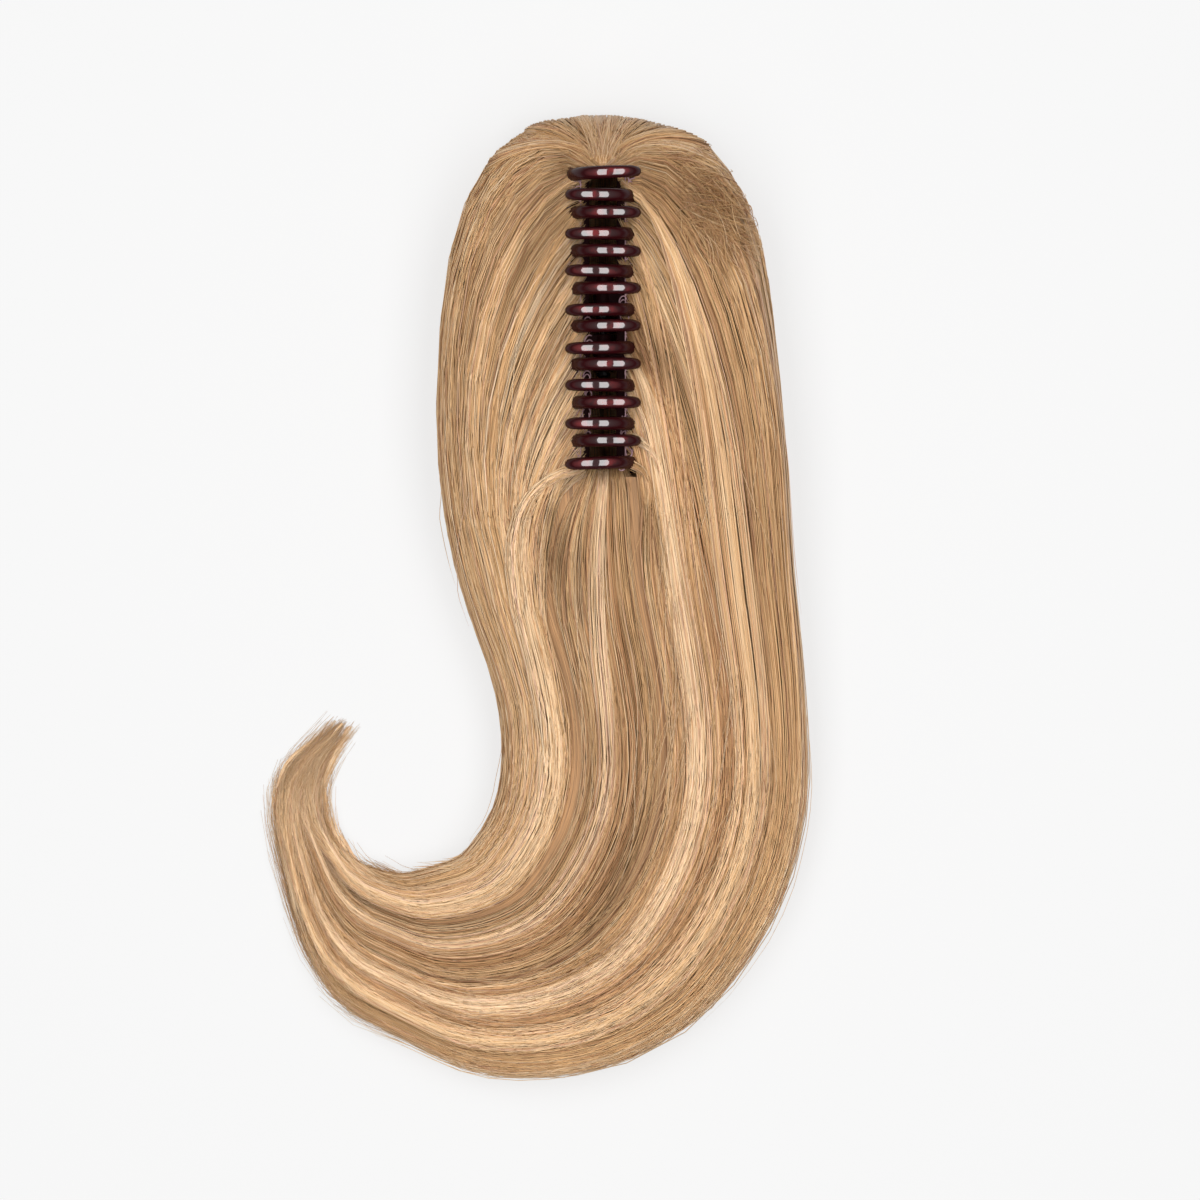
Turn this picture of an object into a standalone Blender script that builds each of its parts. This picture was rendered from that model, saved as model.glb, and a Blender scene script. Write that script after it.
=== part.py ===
"""Ponytail hairpiece on a claw clip, lying on a surface with the clip's teeth up.

Metres, +Z up. The origin is under the middle of the clip, on the surface. +Y runs along the clip to the
crown, and the tail runs down -Y and curls round to -X. The clip is two toothed jaws on one steel pin, closed
by a spring. A net is sewn along each jaw. The hair grows from the nets: a left and a right curtain, and a
tail whose upper end is the thin layer under the clip.
"""

import math

import bmesh
import bpy
from mathutils import Vector

# Clip
JAW_LENGTH = 0.102
JAW_WALL = 0.0020
JAW_BULGE = 0.0112
JAW_RISE = 0.0195
JAW_END_ROUND = 0.006
TEETH = 8
TOOTH_END_ROOM = 0.0012
TOOTH_STAGGER = 0.0070
TOOTH_WIDTH = 0.0048
TOOTH_DEPTH = 0.0036
TOOTH_RISE = 0.0283
TOOTH_REACH = 0.0123
TOOTH_LEAN = 0.0010
TOOTH_SIDES = 6
PIN_RADIUS = 0.0012
PIN_HEIGHT = 0.026
PIN_HEAD = 0.0022
KNUCKLE_WALL = 0.0017
KNUCKLE_LENGTH = 0.006
RUNNING_GAP = 0.0003
LEVER_LENGTH = 0.0210
LEVER_WIDTH = 0.024
LEVER_WALL = 0.0020
LEVER_ANGLE = math.radians(60)
SPRING_WIRE = 0.00045
SPRING_TURNS = 5
SPRING_PITCH = 0.0014
COIL_ROOM = 0.0003
LEG_ROOM = 0.0008
LEG_SHORT_OF_LEVER = 0.007
NET_WALL = 0.0010

# Hair
PIECE_GAP = 0.0003
BACK_LAYER = 0.0046
END_ROOM = 0.0015
SIDE_ROOM = 0.0006
CURTAIN_WIDTH = 0.0470
CROWN_RISE = 0.0175
HAIR_HEIGHT = 0.0475
TAIL_LENGTH = 0.2010
TAIL_WIDTH = 0.1100
LOCK_WIDTH = 0.0125
LOCK_THICKNESS = 0.0062
LOCK_STANDS_PROUD = 0.0016
LOCK_CORNERS = (0, 60, 120, 180, 270)
STEEPEST_LOCK = 1.6
RING_POINTS = 16

# What follows from them
TOOTH_PITCH = (JAW_LENGTH - TOOTH_STAGGER - TOOTH_WIDTH - 2 * TOOTH_END_ROOM) / (TEETH - 1)
KNUCKLE_RADIUS = PIN_RADIUS + RUNNING_GAP + KNUCKLE_WALL
COIL_RADIUS = PIN_RADIUS + RUNNING_GAP + SPRING_WIRE + COIL_ROOM
SPRING_LEG = LEVER_LENGTH - LEG_SHORT_OF_LEVER
WALL_X = JAW_BULGE + JAW_WALL / 2 + NET_WALL + 2 * PIECE_GAP + SIDE_ROOM
SEAM_Y = -(JAW_LENGTH / 2 + END_ROOM)
TOP_Y = -SEAM_Y + CROWN_RISE

# The hair's plan beside the clip. Each row: how far along from the crown's top edge to the seam under the
# clip, how far out the left and the right edge stand as shares of a curtain's width past the clip's chamber,
# and the hair's height as a share of its full height.
BESIDE_CLIP = (
    # along, left, right, height
    (0.000, -0.13, -0.20, 0.10),
    (0.020, 0.14, 0.08, 0.30),
    (0.070, 0.35, 0.41, 0.57),
    (0.125, 0.50, 0.55, 0.80),
    (0.183, 0.60, 0.64, 0.92),
    (0.295, 0.73, 0.78, 0.99),
    (0.459, 0.82, 0.87, 1.00),
    (0.672, 0.87, 0.94, 1.00),
    (0.893, 0.88, 1.00, 0.99),
)

# The tail's plan past the seam. Each row: the left edge that becomes the inside of the curl, then the right
# edge that becomes its outside, x as shares of the tail's width and y of its length, and the height.
TAIL = (
    # inner x, inner y, outer x, outer y, height
    (-0.485, 0.055, 0.572, 0.055, 0.93),
    (-0.455, 0.140, 0.582, 0.140, 0.85),
    (-0.400, 0.239, 0.600, 0.239, 0.78),
    (-0.334, 0.338, 0.615, 0.338, 0.72),
    (-0.306, 0.438, 0.625, 0.438, 0.68),
    (-0.314, 0.512, 0.625, 0.527, 0.66),
    (-0.345, 0.567, 0.600, 0.612, 0.65),
    (-0.382, 0.597, 0.555, 0.696, 0.63),
    (-0.418, 0.625, 0.464, 0.790, 0.60),
    (-0.455, 0.639, 0.309, 0.896, 0.56),
    (-0.497, 0.647, 0.091, 0.970, 0.51),
    (-0.545, 0.655, -0.136, 1.000, 0.45),
    (-0.600, 0.662, -0.382, 0.993, 0.39),
    (-0.655, 0.659, -0.618, 0.935, 0.33),
    (-0.709, 0.650, -0.812, 0.877, 0.27),
    (-0.764, 0.637, -0.918, 0.781, 0.22),
    (-0.805, 0.615, -0.968, 0.677, 0.17),
    (-0.848, 0.584, -0.997, 0.587, 0.13),
    (-0.875, 0.527, -0.995, 0.522, 0.10),
    (-0.855, 0.483, -0.955, 0.473, 0.08),
    (-0.815, 0.440, -0.860, 0.432, 0.05),
)

# The curl begins at this row of the tail, and its outline takes twice as many sections.
CURL_STARTS = 8

# The locks. Each row: where the root is along the clip from its lower end (0) to its upper end (1), the lane
# that the lock ends in, from the left edge (0) to the right (1), how far it swings round before it runs
# straight, as a share of the clip's length, the direction in which it leaves, in degrees above straight out
# from the clip, its width, and where it ends along the tail, as shares of a lock's width and the tail's length.
LOCKS = (
    # root, lane, swing, leaves, width, ends
    (0.99, 0.012, 0.46, 34, 0.80, 0.86),
    (0.98, 0.070, 0.46, 32, 0.95, 0.96),
    (0.94, 0.145, 0.44, 28, 1.15, 1.00),
    (0.86, 0.215, 0.40, 10, 0.85, 0.94),
    (0.70, 0.275, 0.42, -8, 1.00, 0.97),
    (0.50, 0.345, 0.46, -22, 1.10, 0.91),
    (0.26, 0.405, 0.42, -30, 0.75, 0.98),
    (0.04, 0.455, 0.40, -35, 0.85, 0.93),
    (-0.02, 0.515, 0.30, -50, 0.75, 0.88),
    (0.24, 0.580, 0.44, -32, 0.80, 0.95),
    (0.50, 0.650, 0.46, -22, 1.10, 0.88),
    (0.72, 0.725, 0.44, -10, 0.90, 0.92),
    (0.88, 0.800, 0.42, 16, 1.15, 0.85),
    (0.95, 0.870, 0.44, 30, 0.90, 0.89),
    (0.98, 0.930, 0.46, 32, 0.95, 0.82),
    (0.99, 0.988, 0.46, 34, 0.80, 0.78),
)

# The locks that rise from the parting over the crown. Each row: lane and width as a share of a lock's.
CROWN_LOCKS = (
    # lane, width
    (0.20, 0.80),
    (0.40, 0.75),
    (0.60, 0.75),
    (0.80, 0.80),
)


def clear_scene():
    for obj in list(bpy.data.objects):
        bpy.data.objects.remove(obj)


def material(name, colour, roughness, metallic=0.0):
    """A Principled material of one plain finish."""
    made = bpy.data.materials.new(name)
    made.use_nodes = True
    shader = made.node_tree.nodes["Principled BSDF"]
    shader.inputs["Base Color"].default_value = (*colour, 1.0)
    shader.inputs["Roughness"].default_value = roughness
    shader.inputs["Metallic"].default_value = metallic
    made.diffuse_color = (*colour, 1.0)
    return made


def mesh_object(name, mesh, finish=None):
    obj = bpy.data.objects.new(name, mesh)
    bpy.context.scene.collection.objects.link(obj)
    if finish is not None:
        mesh.materials.append(finish)
    return obj


def loft(name, rings, finish=None):
    """A closed solid through rings of equal counts of points, with a flat cap at each end."""
    build = bmesh.new()
    rows = [[build.verts.new(point) for point in ring] for ring in rings]
    count = len(rows[0])
    for row, after in zip(rows, rows[1:]):
        for k in range(count):
            n = (k + 1) % count
            build.faces.new((row[k], row[n], after[n], after[k]))
    build.faces.new(rows[0])
    build.faces.new(rows[-1])
    bmesh.ops.triangulate(build, faces=[f for f in build.faces if len(f.verts) == 4])
    bmesh.ops.recalc_face_normals(build, faces=build.faces)
    mesh = bpy.data.meshes.new(name)
    build.to_mesh(mesh)
    build.free()
    return mesh_object(name, mesh, finish)


def along_y(name, sections, finish=None):
    """A loft of flat sections: each is a y and a list of (x, z)."""
    return loft(name, [[Vector((x, y, z)) for x, z in ring] for y, ring in sections], finish)


def box(name, low, high):
    """A plain block between two corners."""
    ring = ((low[0], low[2]), (high[0], low[2]), (high[0], high[2]), (low[0], high[2]))
    return along_y(name, [(low[1], ring), (high[1], ring)])


def circle(radius, sides, centre=(0.0, 0.0)):
    turn = 2 * math.pi / sides
    return [
        (centre[0] + radius * math.cos(k * turn), centre[1] + radius * math.sin(k * turn)) for k in range(sides)
    ]


def boolean(target, other, operation):
    """Combines target with other and deletes other."""
    step = target.modifiers.new(operation, "BOOLEAN")
    step.operation = operation
    step.object = other
    step.solver = "EXACT"
    bpy.context.view_layer.update()
    evaluated = target.evaluated_get(bpy.context.evaluated_depsgraph_get())
    mesh = bpy.data.meshes.new_from_object(evaluated)
    target.modifiers.clear()
    target.data = mesh
    bpy.data.objects.remove(other)


def round_shading(obj, degrees=40):
    obj.data.shade_smooth()
    obj.data.set_sharp_from_angle(angle=math.radians(degrees))


def curve_through(points, share):
    """A point on the smooth curve through points, at a share from 0 to 1 of their count."""
    last = len(points) - 1
    at = min(max(share, 0.0), 1.0) * last
    k = min(int(at), last - 1)
    t = at - k
    before = points[max(k - 1, 0)]
    start = points[k]
    end = points[k + 1]
    after = points[min(k + 2, last)]
    return tuple(
        0.5 * (2 * b + (c - a) * t + (2 * a - 5 * b + 4 * c - d) * t * t + (3 * b - a - 3 * c + d) * t**3)
        for a, b, c, d in zip(before, start, end, after)
    )


def band(points, wall, low, high, steps):
    """The closed outline of a wall about the curve through points, between two shares of it."""
    outer = []
    inner = []
    for k in range(steps + 1):
        share = low + (high - low) * k / steps
        x, z = curve_through(points, share)
        ahead = curve_through(points, share + 0.01)
        behind = curve_through(points, share - 0.01)
        along = Vector((ahead[0] - behind[0], ahead[1] - behind[1])).normalized()
        outer.append((x + along.y * wall / 2, z - along.x * wall / 2))
        inner.append((x - along.y * wall / 2, z + along.x * wall / 2))
    return outer + inner[::-1]


def mirrored(points, side):
    return [(side * x, z) for x, z in points]


# A jaw's wall in section, from its inner edge near the pin up to the foot of the teeth, on the right.
def jaw_curve():
    return [
        (0.41 * JAW_BULGE, PIN_HEIGHT + 0.06 * JAW_RISE),
        (0.71 * JAW_BULGE, PIN_HEIGHT + 0.11 * JAW_RISE),
        (0.95 * JAW_BULGE, PIN_HEIGHT + 0.31 * JAW_RISE),
        (1.00 * JAW_BULGE, PIN_HEIGHT + 0.56 * JAW_RISE),
        (0.92 * JAW_BULGE, PIN_HEIGHT + 0.82 * JAW_RISE),
        (0.79 * JAW_BULGE, PIN_HEIGHT + 1.00 * JAW_RISE),
    ]


# A tooth in section, from its foot on the wall, over the middle and down to its tip on the other side.
def tooth_curve():
    return [
        (0.99 * JAW_BULGE, PIN_HEIGHT + 0.52 * JAW_RISE),
        (0.95 * JAW_BULGE, PIN_HEIGHT + 0.82 * JAW_RISE),
        (0.80 * JAW_BULGE, PIN_HEIGHT + 0.73 * TOOTH_RISE),
        (0.52 * JAW_BULGE, PIN_HEIGHT + 0.89 * TOOTH_RISE),
        (0.12 * JAW_BULGE, PIN_HEIGHT + 0.98 * TOOTH_RISE),
        (-0.28 * TOOTH_REACH, PIN_HEIGHT + 1.00 * TOOTH_RISE),
        (-0.68 * TOOTH_REACH, PIN_HEIGHT + 0.955 * TOOTH_RISE),
        (-1.00 * TOOTH_REACH, PIN_HEIGHT + 0.85 * TOOTH_RISE),
    ]


def lever_curve():
    """A lever in section, from the jaw's wall down past the pin and out to the thumb pad."""
    out = math.sin(LEVER_ANGLE)
    down = math.cos(LEVER_ANGLE)
    return [
        (0.64 * JAW_BULGE, PIN_HEIGHT + 0.10 * JAW_RISE),
        (0.56 * JAW_BULGE, PIN_HEIGHT - 0.07 * JAW_RISE),
        (0.46 * LEVER_LENGTH * out, PIN_HEIGHT - 0.46 * LEVER_LENGTH * down),
        (0.75 * LEVER_LENGTH * out, PIN_HEIGHT - 0.76 * LEVER_LENGTH * down),
        (LEVER_LENGTH * out, PIN_HEIGHT - 1.06 * LEVER_LENGTH * down),
    ]


def jaw_wall(side):
    """The curved wall, lower at both ends."""
    half = JAW_LENGTH / 2
    sections = []
    for y, low, high in (
        (-half, 0.34, 0.66),
        (-half + 0.3 * JAW_END_ROUND, 0.16, 0.86),
        (-half + JAW_END_ROUND, 0.0, 1.0),
        (half - JAW_END_ROUND, 0.0, 1.0),
        (half - 0.3 * JAW_END_ROUND, 0.16, 0.86),
        (half, 0.34, 0.66),
    ):
        sections.append((y, mirrored(band(jaw_curve(), JAW_WALL, low, high, 6), side)))
    return along_y("jaw_wall", sections)


def tooth(side, y):
    """One curved tooth. It leans a little towards the nearer end of the clip."""
    curve = tooth_curve()
    steps = 7
    rings = []
    for k in range(steps + 1):
        share = k / steps
        x, z = curve_through(curve, share)
        ahead = curve_through(curve, share + 0.01)
        behind = curve_through(curve, share - 0.01)
        along = Vector((ahead[0] - behind[0], 0, ahead[1] - behind[1])).normalized()
        across = Vector((along.z, 0, -along.x))
        tip = max(0.0, (share - 0.86) / 0.14)
        slim = (1.0 - 0.18 * share) * math.sqrt(max(0.0, 1.0 - 0.80 * tip * tip))
        grow = min(1.0, 0.55 + 2.2 * share)
        centre = Vector((x, y + TOOTH_LEAN * share * (2 * y / JAW_LENGTH) ** 3, z))
        ring = []
        for c, s in circle(0.5, TOOTH_SIDES):
            ring.append(centre + Vector((0, TOOTH_WIDTH * slim * c, 0)) + across * (TOOTH_DEPTH * slim * grow * s))
        rings.append([Vector((side * p.x, p.y, p.z)) for p in ring])
    return loft("tooth", rings)


def knuckle(side, centre_y):
    """A barrel round the pin with the web that joins it to its jaw."""
    low = centre_y - KNUCKLE_LENGTH / 2
    high = centre_y + KNUCKLE_LENGTH / 2
    barrel_ring = circle(KNUCKLE_RADIUS, 14, (0.0, PIN_HEIGHT))
    barrel = along_y("knuckle", [(low, barrel_ring), (high, barrel_ring)])
    web_ring = mirrored(
        (
            (0.3 * KNUCKLE_RADIUS, PIN_HEIGHT - 0.55 * KNUCKLE_RADIUS),
            (0.68 * JAW_BULGE, PIN_HEIGHT - 0.02 * JAW_RISE),
            (0.68 * JAW_BULGE, PIN_HEIGHT + 0.12 * JAW_RISE),
            (0.3 * KNUCKLE_RADIUS, PIN_HEIGHT + 0.80 * KNUCKLE_RADIUS),
        ),
        side,
    )
    inset = 0.04 * KNUCKLE_LENGTH
    boolean(barrel, along_y("web", [(low + inset, web_ring), (high - inset, web_ring)]), "UNION")
    bore = circle(PIN_RADIUS + RUNNING_GAP, 12, (0.0, PIN_HEIGHT))
    boolean(barrel, along_y("bore", [(low - inset, bore), (high + inset, bore)]), "DIFFERENCE")
    return barrel


def lever(side):
    half = LEVER_WIDTH / 2
    round_end = 0.2 * LEVER_WIDTH
    sections = []
    for y, high in (
        (-half, 0.80),
        (-half + 0.35 * round_end, 0.94),
        (-half + round_end, 1.0),
        (half - round_end, 1.0),
        (half - 0.35 * round_end, 0.94),
        (half, 0.80),
    ):
        sections.append((y, mirrored(band(lever_curve(), LEVER_WALL, 0.0, high, 5), side)))
    return along_y("lever", sections)


def knuckle_places(side):
    """Two knuckles on each jaw, the other jaw's beside them, with the spring between them."""
    room = SPRING_TURNS * SPRING_PITCH / 2 + 2 * SPRING_WIRE + RUNNING_GAP
    near = room + KNUCKLE_LENGTH / 2
    far = near + KNUCKLE_LENGTH + RUNNING_GAP
    return (near, -far) if side > 0 else (far, -near)


def tooth_places(side):
    first = (TEETH - 1) / 2 * TOOTH_PITCH - side * TOOTH_STAGGER / 2
    return [first - k * TOOTH_PITCH for k in range(TEETH)]


def make_jaw(name, side, finish):
    jaw = jaw_wall(side)
    jaw.name = name
    for y in tooth_places(side):
        boolean(jaw, tooth(side, y), "UNION")
    for y in knuckle_places(side):
        boolean(jaw, knuckle(side, y), "UNION")
    boolean(jaw, lever(side), "UNION")
    jaw.data.materials.clear()
    jaw.data.materials.append(finish)
    round_shading(jaw)
    put_origin_on_pin(jaw)
    return jaw


def put_origin_on_pin(obj):
    """Moves the object's origin to the pin's axis and leaves its shape where it is."""
    offset = Vector((0.0, 0.0, PIN_HEIGHT))
    for vertex in obj.data.vertices:
        vertex.co -= offset
    obj.location = offset


def make_pin(finish):
    """The steel pin, with a low head at each end that keeps the jaws on it."""
    reach = abs(knuckle_places(1)[1]) + KNUCKLE_LENGTH / 2 + RUNNING_GAP
    head = 0.5 * PIN_HEAD
    rod = circle(PIN_RADIUS, 12, (0.0, PIN_HEIGHT))
    wide = circle(PIN_HEAD, 12, (0.0, PIN_HEIGHT))
    small = circle(0.7 * PIN_HEAD, 12, (0.0, PIN_HEIGHT))
    pin = along_y(
        "hinge_pin",
        [
            (-reach - 1.5 * head, small),
            (-reach - head, wide),
            (-reach, wide),
            (-reach, rod),
            (reach, rod),
            (reach, wide),
            (reach + head, wide),
            (reach + 1.5 * head, small),
        ],
        finish,
    )
    round_shading(pin)
    return pin


def spring_leg(side, y):
    """Two points of a leg: where it leaves the coil, and its end beside the lever's inner face."""
    out = math.sin(LEVER_ANGLE)
    down = math.cos(LEVER_ANGLE)
    beside = LEVER_WALL / 2 + SPRING_WIRE + PIECE_GAP + LEG_ROOM
    start = (COIL_RADIUS * -down, COIL_RADIUS * -out)
    end = (SPRING_LEG * out - beside * down, -SPRING_LEG * down - beside * out)
    return [Vector((side * x, y, PIN_HEIGHT + z)) for x, z in (start, end)]


def make_spring(finish):
    """A torsion spring round the pin: its two legs press the levers apart, and so close the teeth."""
    per_turn = 8
    leave = math.atan2(-math.sin(LEVER_ANGLE), -math.cos(LEVER_ANGLE))
    arrive = math.atan2(-math.sin(LEVER_ANGLE), math.cos(LEVER_ANGLE)) + 2 * math.pi * SPRING_TURNS
    count = round(per_turn * (arrive - leave) / (2 * math.pi))
    length = SPRING_TURNS * SPRING_PITCH
    points = [spring_leg(1, -length / 2)[1]]
    for k in range(count + 1):
        angle = leave + (arrive - leave) * k / count
        y = length * (k / count - 0.5)
        points.append(Vector((COIL_RADIUS * math.cos(angle), y, PIN_HEIGHT + COIL_RADIUS * math.sin(angle))))
    points.append(spring_leg(-1, length / 2)[1])
    curve = bpy.data.curves.new("spring", "CURVE")
    curve.dimensions = "3D"
    curve.bevel_depth = SPRING_WIRE
    curve.bevel_resolution = 0
    curve.use_fill_caps = True
    spline = curve.splines.new("POLY")
    spline.points.add(len(points) - 1)
    for slot, point in zip(spline.points, points):
        slot.co = (*point, 1.0)
    spring = bpy.data.objects.new("spring", curve)
    bpy.context.scene.collection.objects.link(spring)
    curve.materials.append(finish)
    return spring


def make_net(name, side, finish):
    """The sewn net that carries the hair, on the outside of a jaw's wall below its teeth."""
    off = JAW_WALL / 2 + PIECE_GAP + NET_WALL / 2
    path = []
    for k in range(7):
        share = 0.24 + 0.26 * k / 6
        x, z = curve_through(jaw_curve(), share)
        ahead = curve_through(jaw_curve(), share + 0.01)
        behind = curve_through(jaw_curve(), share - 0.01)
        along = Vector((ahead[0] - behind[0], ahead[1] - behind[1])).normalized()
        path.append((x + along.y * off, z - along.x * off))
    ring = mirrored(band(path, NET_WALL, 0.0, 1.0, 6), side)
    half = JAW_LENGTH / 2 - JAW_END_ROUND
    net = along_y(name, [(-half, ring), (0.0, ring), (half, ring)], finish)
    round_shading(net)
    put_origin_on_pin(net)
    return net


# The hair's stations, from the crown to the tail's tip: distance along, left point, right point and height.
def hair_stations():
    stations = []
    whole = TOP_Y - SEAM_Y
    for along, left, right, height in BESIDE_CLIP:
        y = TOP_Y - along * whole
        left_x = -(WALL_X + left * CURTAIN_WIDTH)
        right_x = WALL_X + right * CURTAIN_WIDTH
        stations.append((along * whole, (left_x, y), (right_x, y), height * HAIR_HEIGHT))
    for inner_x, inner_y, outer_x, outer_y, height in TAIL:
        left = (inner_x * TAIL_WIDTH, SEAM_Y - inner_y * TAIL_LENGTH)
        right = (outer_x * TAIL_WIDTH, SEAM_Y - outer_y * TAIL_LENGTH)
        last = stations[-1]
        step_x = (left[0] + right[0] - last[1][0] - last[2][0]) / 2
        step_y = (left[1] + right[1] - last[1][1] - last[2][1]) / 2
        level = left[1] == right[1]
        distance = TOP_Y - left[1] if level else last[0] + math.hypot(step_x, step_y)
        stations.append((distance, left, right, height * HAIR_HEIGHT))
    return stations


def station_at(stations, along):
    """The left point, the right point and the height at a distance from the crown's top edge."""
    k = 0
    while k < len(stations) - 2 and stations[k + 1][0] < along:
        k += 1
    low = stations[k][0]
    t = min(max((along - low) / (stations[k + 1][0] - low), 0.0), 1.0)
    rows = [stations[min(max(k + j, 0), len(stations) - 1)] for j in (-1, 0, 1, 2)]
    flat = [(row[1][0], row[1][1], row[2][0], row[2][1], row[3]) for row in rows]
    spans = [rows[j + 1][0] - rows[j][0] for j in range(3)]
    found = []
    for a, b, c, d in zip(*flat):
        middle = (c - b) / spans[1]
        slope_b = middle if spans[0] == 0 else 0.5 * (middle + (b - a) / spans[0])
        slope_c = middle if spans[2] == 0 else 0.5 * (middle + (d - c) / spans[2])
        slope_b *= spans[1]
        slope_c *= spans[1]
        cube = (2 * t**3 - 3 * t * t + 1) * b + (3 * t * t - 2 * t**3) * c
        found.append(cube + (t**3 - 2 * t * t + t) * slope_b + (t**3 - t * t) * slope_c)
    return Vector(found[0:2]), Vector(found[2:4]), found[4]


SIDE_LEVEL = 0.28
PLAN_POWER = 0.75
CROWN_POWER = 0.80


def top_of_hair(lane, height):
    """How high the backing's surface is at a lane, for a section of this height."""
    out = min(abs(2 * lane - 1), 1.0)
    lift = (1 - out ** (2 / PLAN_POWER)) ** (CROWN_POWER / 2)
    return height * (SIDE_LEVEL + (1 - SIDE_LEVEL) * lift)


def backing(stations):
    """The hair's body without its locks: a flat-bottomed loft from the crown to the tip."""
    places = [row[0] for row in stations]
    curl = len(BESIDE_CLIP) + CURL_STARTS
    places += [(a + b) / 2 for a, b in zip(places[curl:], places[curl + 1 :])]
    rings = []
    for along in sorted(places):
        left, right, height = station_at(stations, along)
        middle = (left + right) / 2
        half = (right - left) / 2
        ring = []
        for k in range(RING_POINTS):
            angle = 2 * math.pi * k / RING_POINTS
            out = math.cos(angle)
            up = math.sin(angle)
            spot = middle + half * math.copysign(abs(out) ** PLAN_POWER, out)
            if up >= 0:
                z = height * (SIDE_LEVEL + (1 - SIDE_LEVEL) * up**CROWN_POWER)
            else:
                z = height * SIDE_LEVEL * max(0.0, 1 + 1.3 * up)
            ring.append(Vector((spot.x, spot.y, z)))
        rings.append(ring)
    return loft("hair", rings)


def lock_path(stations, row):
    """The lock's way: an arc out from the clip, then straight down its lane. Distances along, and lanes."""
    root, lane, swing, leaves, _, ends = row
    side = -1 if lane < 0.5 else 1
    root_y = (root - 0.5) * JAW_LENGTH
    left, right, _ = station_at(stations, TOP_Y - root_y)
    root_lane = (side * WALL_X - left.x) / (right.x - left.x)
    tilt = -math.radians(leaves)
    across = (lane - root_lane) / (1 - math.sin(tilt))
    swing_y = swing * JAW_LENGTH
    centre_y = root_y - swing_y * math.cos(tilt)
    way = []
    turn = 5
    for k in range(turn):
        angle = tilt + (math.pi / 2 - tilt) * k / turn
        y = centre_y + swing_y * math.cos(angle)
        way.append((TOP_Y - y, lane - across + across * math.sin(angle)))
    start = TOP_Y - centre_y
    end = start + (stations[-1][0] - start) * ends
    steps = 8
    for k in range(steps + 1):
        way.append((start + (end - start) * k / steps, lane))
    return way


def crown_path(lane):
    """A crown lock's way: up one lane from beside the clip's upper end to the crown's edge."""
    start = TOP_Y + SEAM_Y + END_ROOM
    return [(start * (1 - 0.93 * k / 5), lane) for k in range(6)]


def make_lock(stations, way, share_of_width):
    """One lock: a flattened tube that swells from its root, thins with the tail and ends in a point."""
    points = []
    spreads = []
    slopes = []
    for along, lane in way:
        along = min(max(along, 0.0), stations[-1][0])
        left, right, height = station_at(stations, along)
        spot = left.lerp(right, lane)
        z = top_of_hair(lane, height)
        points.append(Vector((spot.x, spot.y, z)))
        spreads.append((right - left).length / (2 * (WALL_X + CURTAIN_WIDTH)))
        fall = top_of_hair(lane + 0.01, height) - top_of_hair(lane - 0.01, height)
        slopes.append((right - left).normalized() * (fall / (0.02 * (right - left).length)))
    rings = []
    last = len(points) - 1
    for k, point in enumerate(points):
        along = (points[min(k + 1, last)] - points[max(k - 1, 0)]).normalized()
        across = Vector((-along.y, along.x, 0)).normalized()
        slope = slopes[k].x * across.x + slopes[k].y * across.y
        across.z = min(max(slope, -STEEPEST_LOCK), STEEPEST_LOCK)
        across = (across - along * across.dot(along)).normalized()
        up = along.cross(across).normalized()
        share = k / last
        taper = min(1.0, 0.45 + 3.0 * share) * min(1.0, 0.12 + 2.6 * (1 - share))
        width = 0.5 * share_of_width * LOCK_WIDTH * taper * max(spreads[k], 0.25)
        thick = 0.5 * LOCK_THICKNESS * taper * max(spreads[k], 0.20)
        sink = thick - LOCK_STANDS_PROUD * taper * max(spreads[k], 0.15)
        ring = []
        for degrees in LOCK_CORNERS:
            corner = math.radians(degrees)
            spot = point + across * (width * math.cos(corner)) + up * (thick * math.sin(corner) - sink)
            spot.z = max(spot.z, 0.10 * LOCK_THICKNESS)
            ring.append(spot)
        rings.append(ring)
    return loft("lock", rings)


def chamber():
    """The room for the clip inside the hair: open above for the teeth, wider below for the levers."""
    reach = LEVER_LENGTH * math.sin(LEVER_ANGLE) + LEVER_WALL / 2 + 2 * PIECE_GAP
    pad = PIN_HEIGHT - 0.45 * LEVER_LENGTH * math.cos(LEVER_ANGLE)
    neck = PIN_HEIGHT - 0.10 * JAW_RISE
    brow = PIN_HEIGHT + 0.80 * JAW_RISE
    lip = PIN_HEIGHT + 1.05 * JAW_RISE
    lip_x = 0.80 * WALL_X
    top = PIN_HEIGHT + 2 * TOOTH_RISE
    right = [
        (reach, BACK_LAYER),
        (reach, pad),
        (WALL_X, neck),
        (WALL_X, brow),
        (lip_x, lip),
        (lip_x, top),
    ]
    ring = right + [(-x, z) for x, z in reversed(right)]
    return along_y("chamber", [(SEAM_Y, ring), (-SEAM_Y - END_ROOM / 2, ring)])


def copy_of(obj, name):
    twin = obj.copy()
    twin.data = obj.data.copy()
    twin.name = name
    bpy.context.scene.collection.objects.link(twin)
    return twin


def fill_pockets(obj):
    """Keeps the outer skin alone, so that no sealed pocket stays between a lock and what it lies on."""
    build = bmesh.new()
    build.from_mesh(obj.data)
    left = set(build.verts)
    skins = []
    while left:
        skin = set()
        reached = [left.pop()]
        while reached:
            vertex = reached.pop()
            skin.add(vertex)
            for edge in vertex.link_edges:
                other = edge.other_vert(vertex)
                if other in left:
                    left.remove(other)
                    reached.append(other)
        skins.append(skin)
    outer = max(skins, key=len)
    bmesh.ops.delete(build, geom=[v for v in build.verts if v not in outer], context="VERTS")
    build.to_mesh(obj.data)
    build.free()


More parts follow.
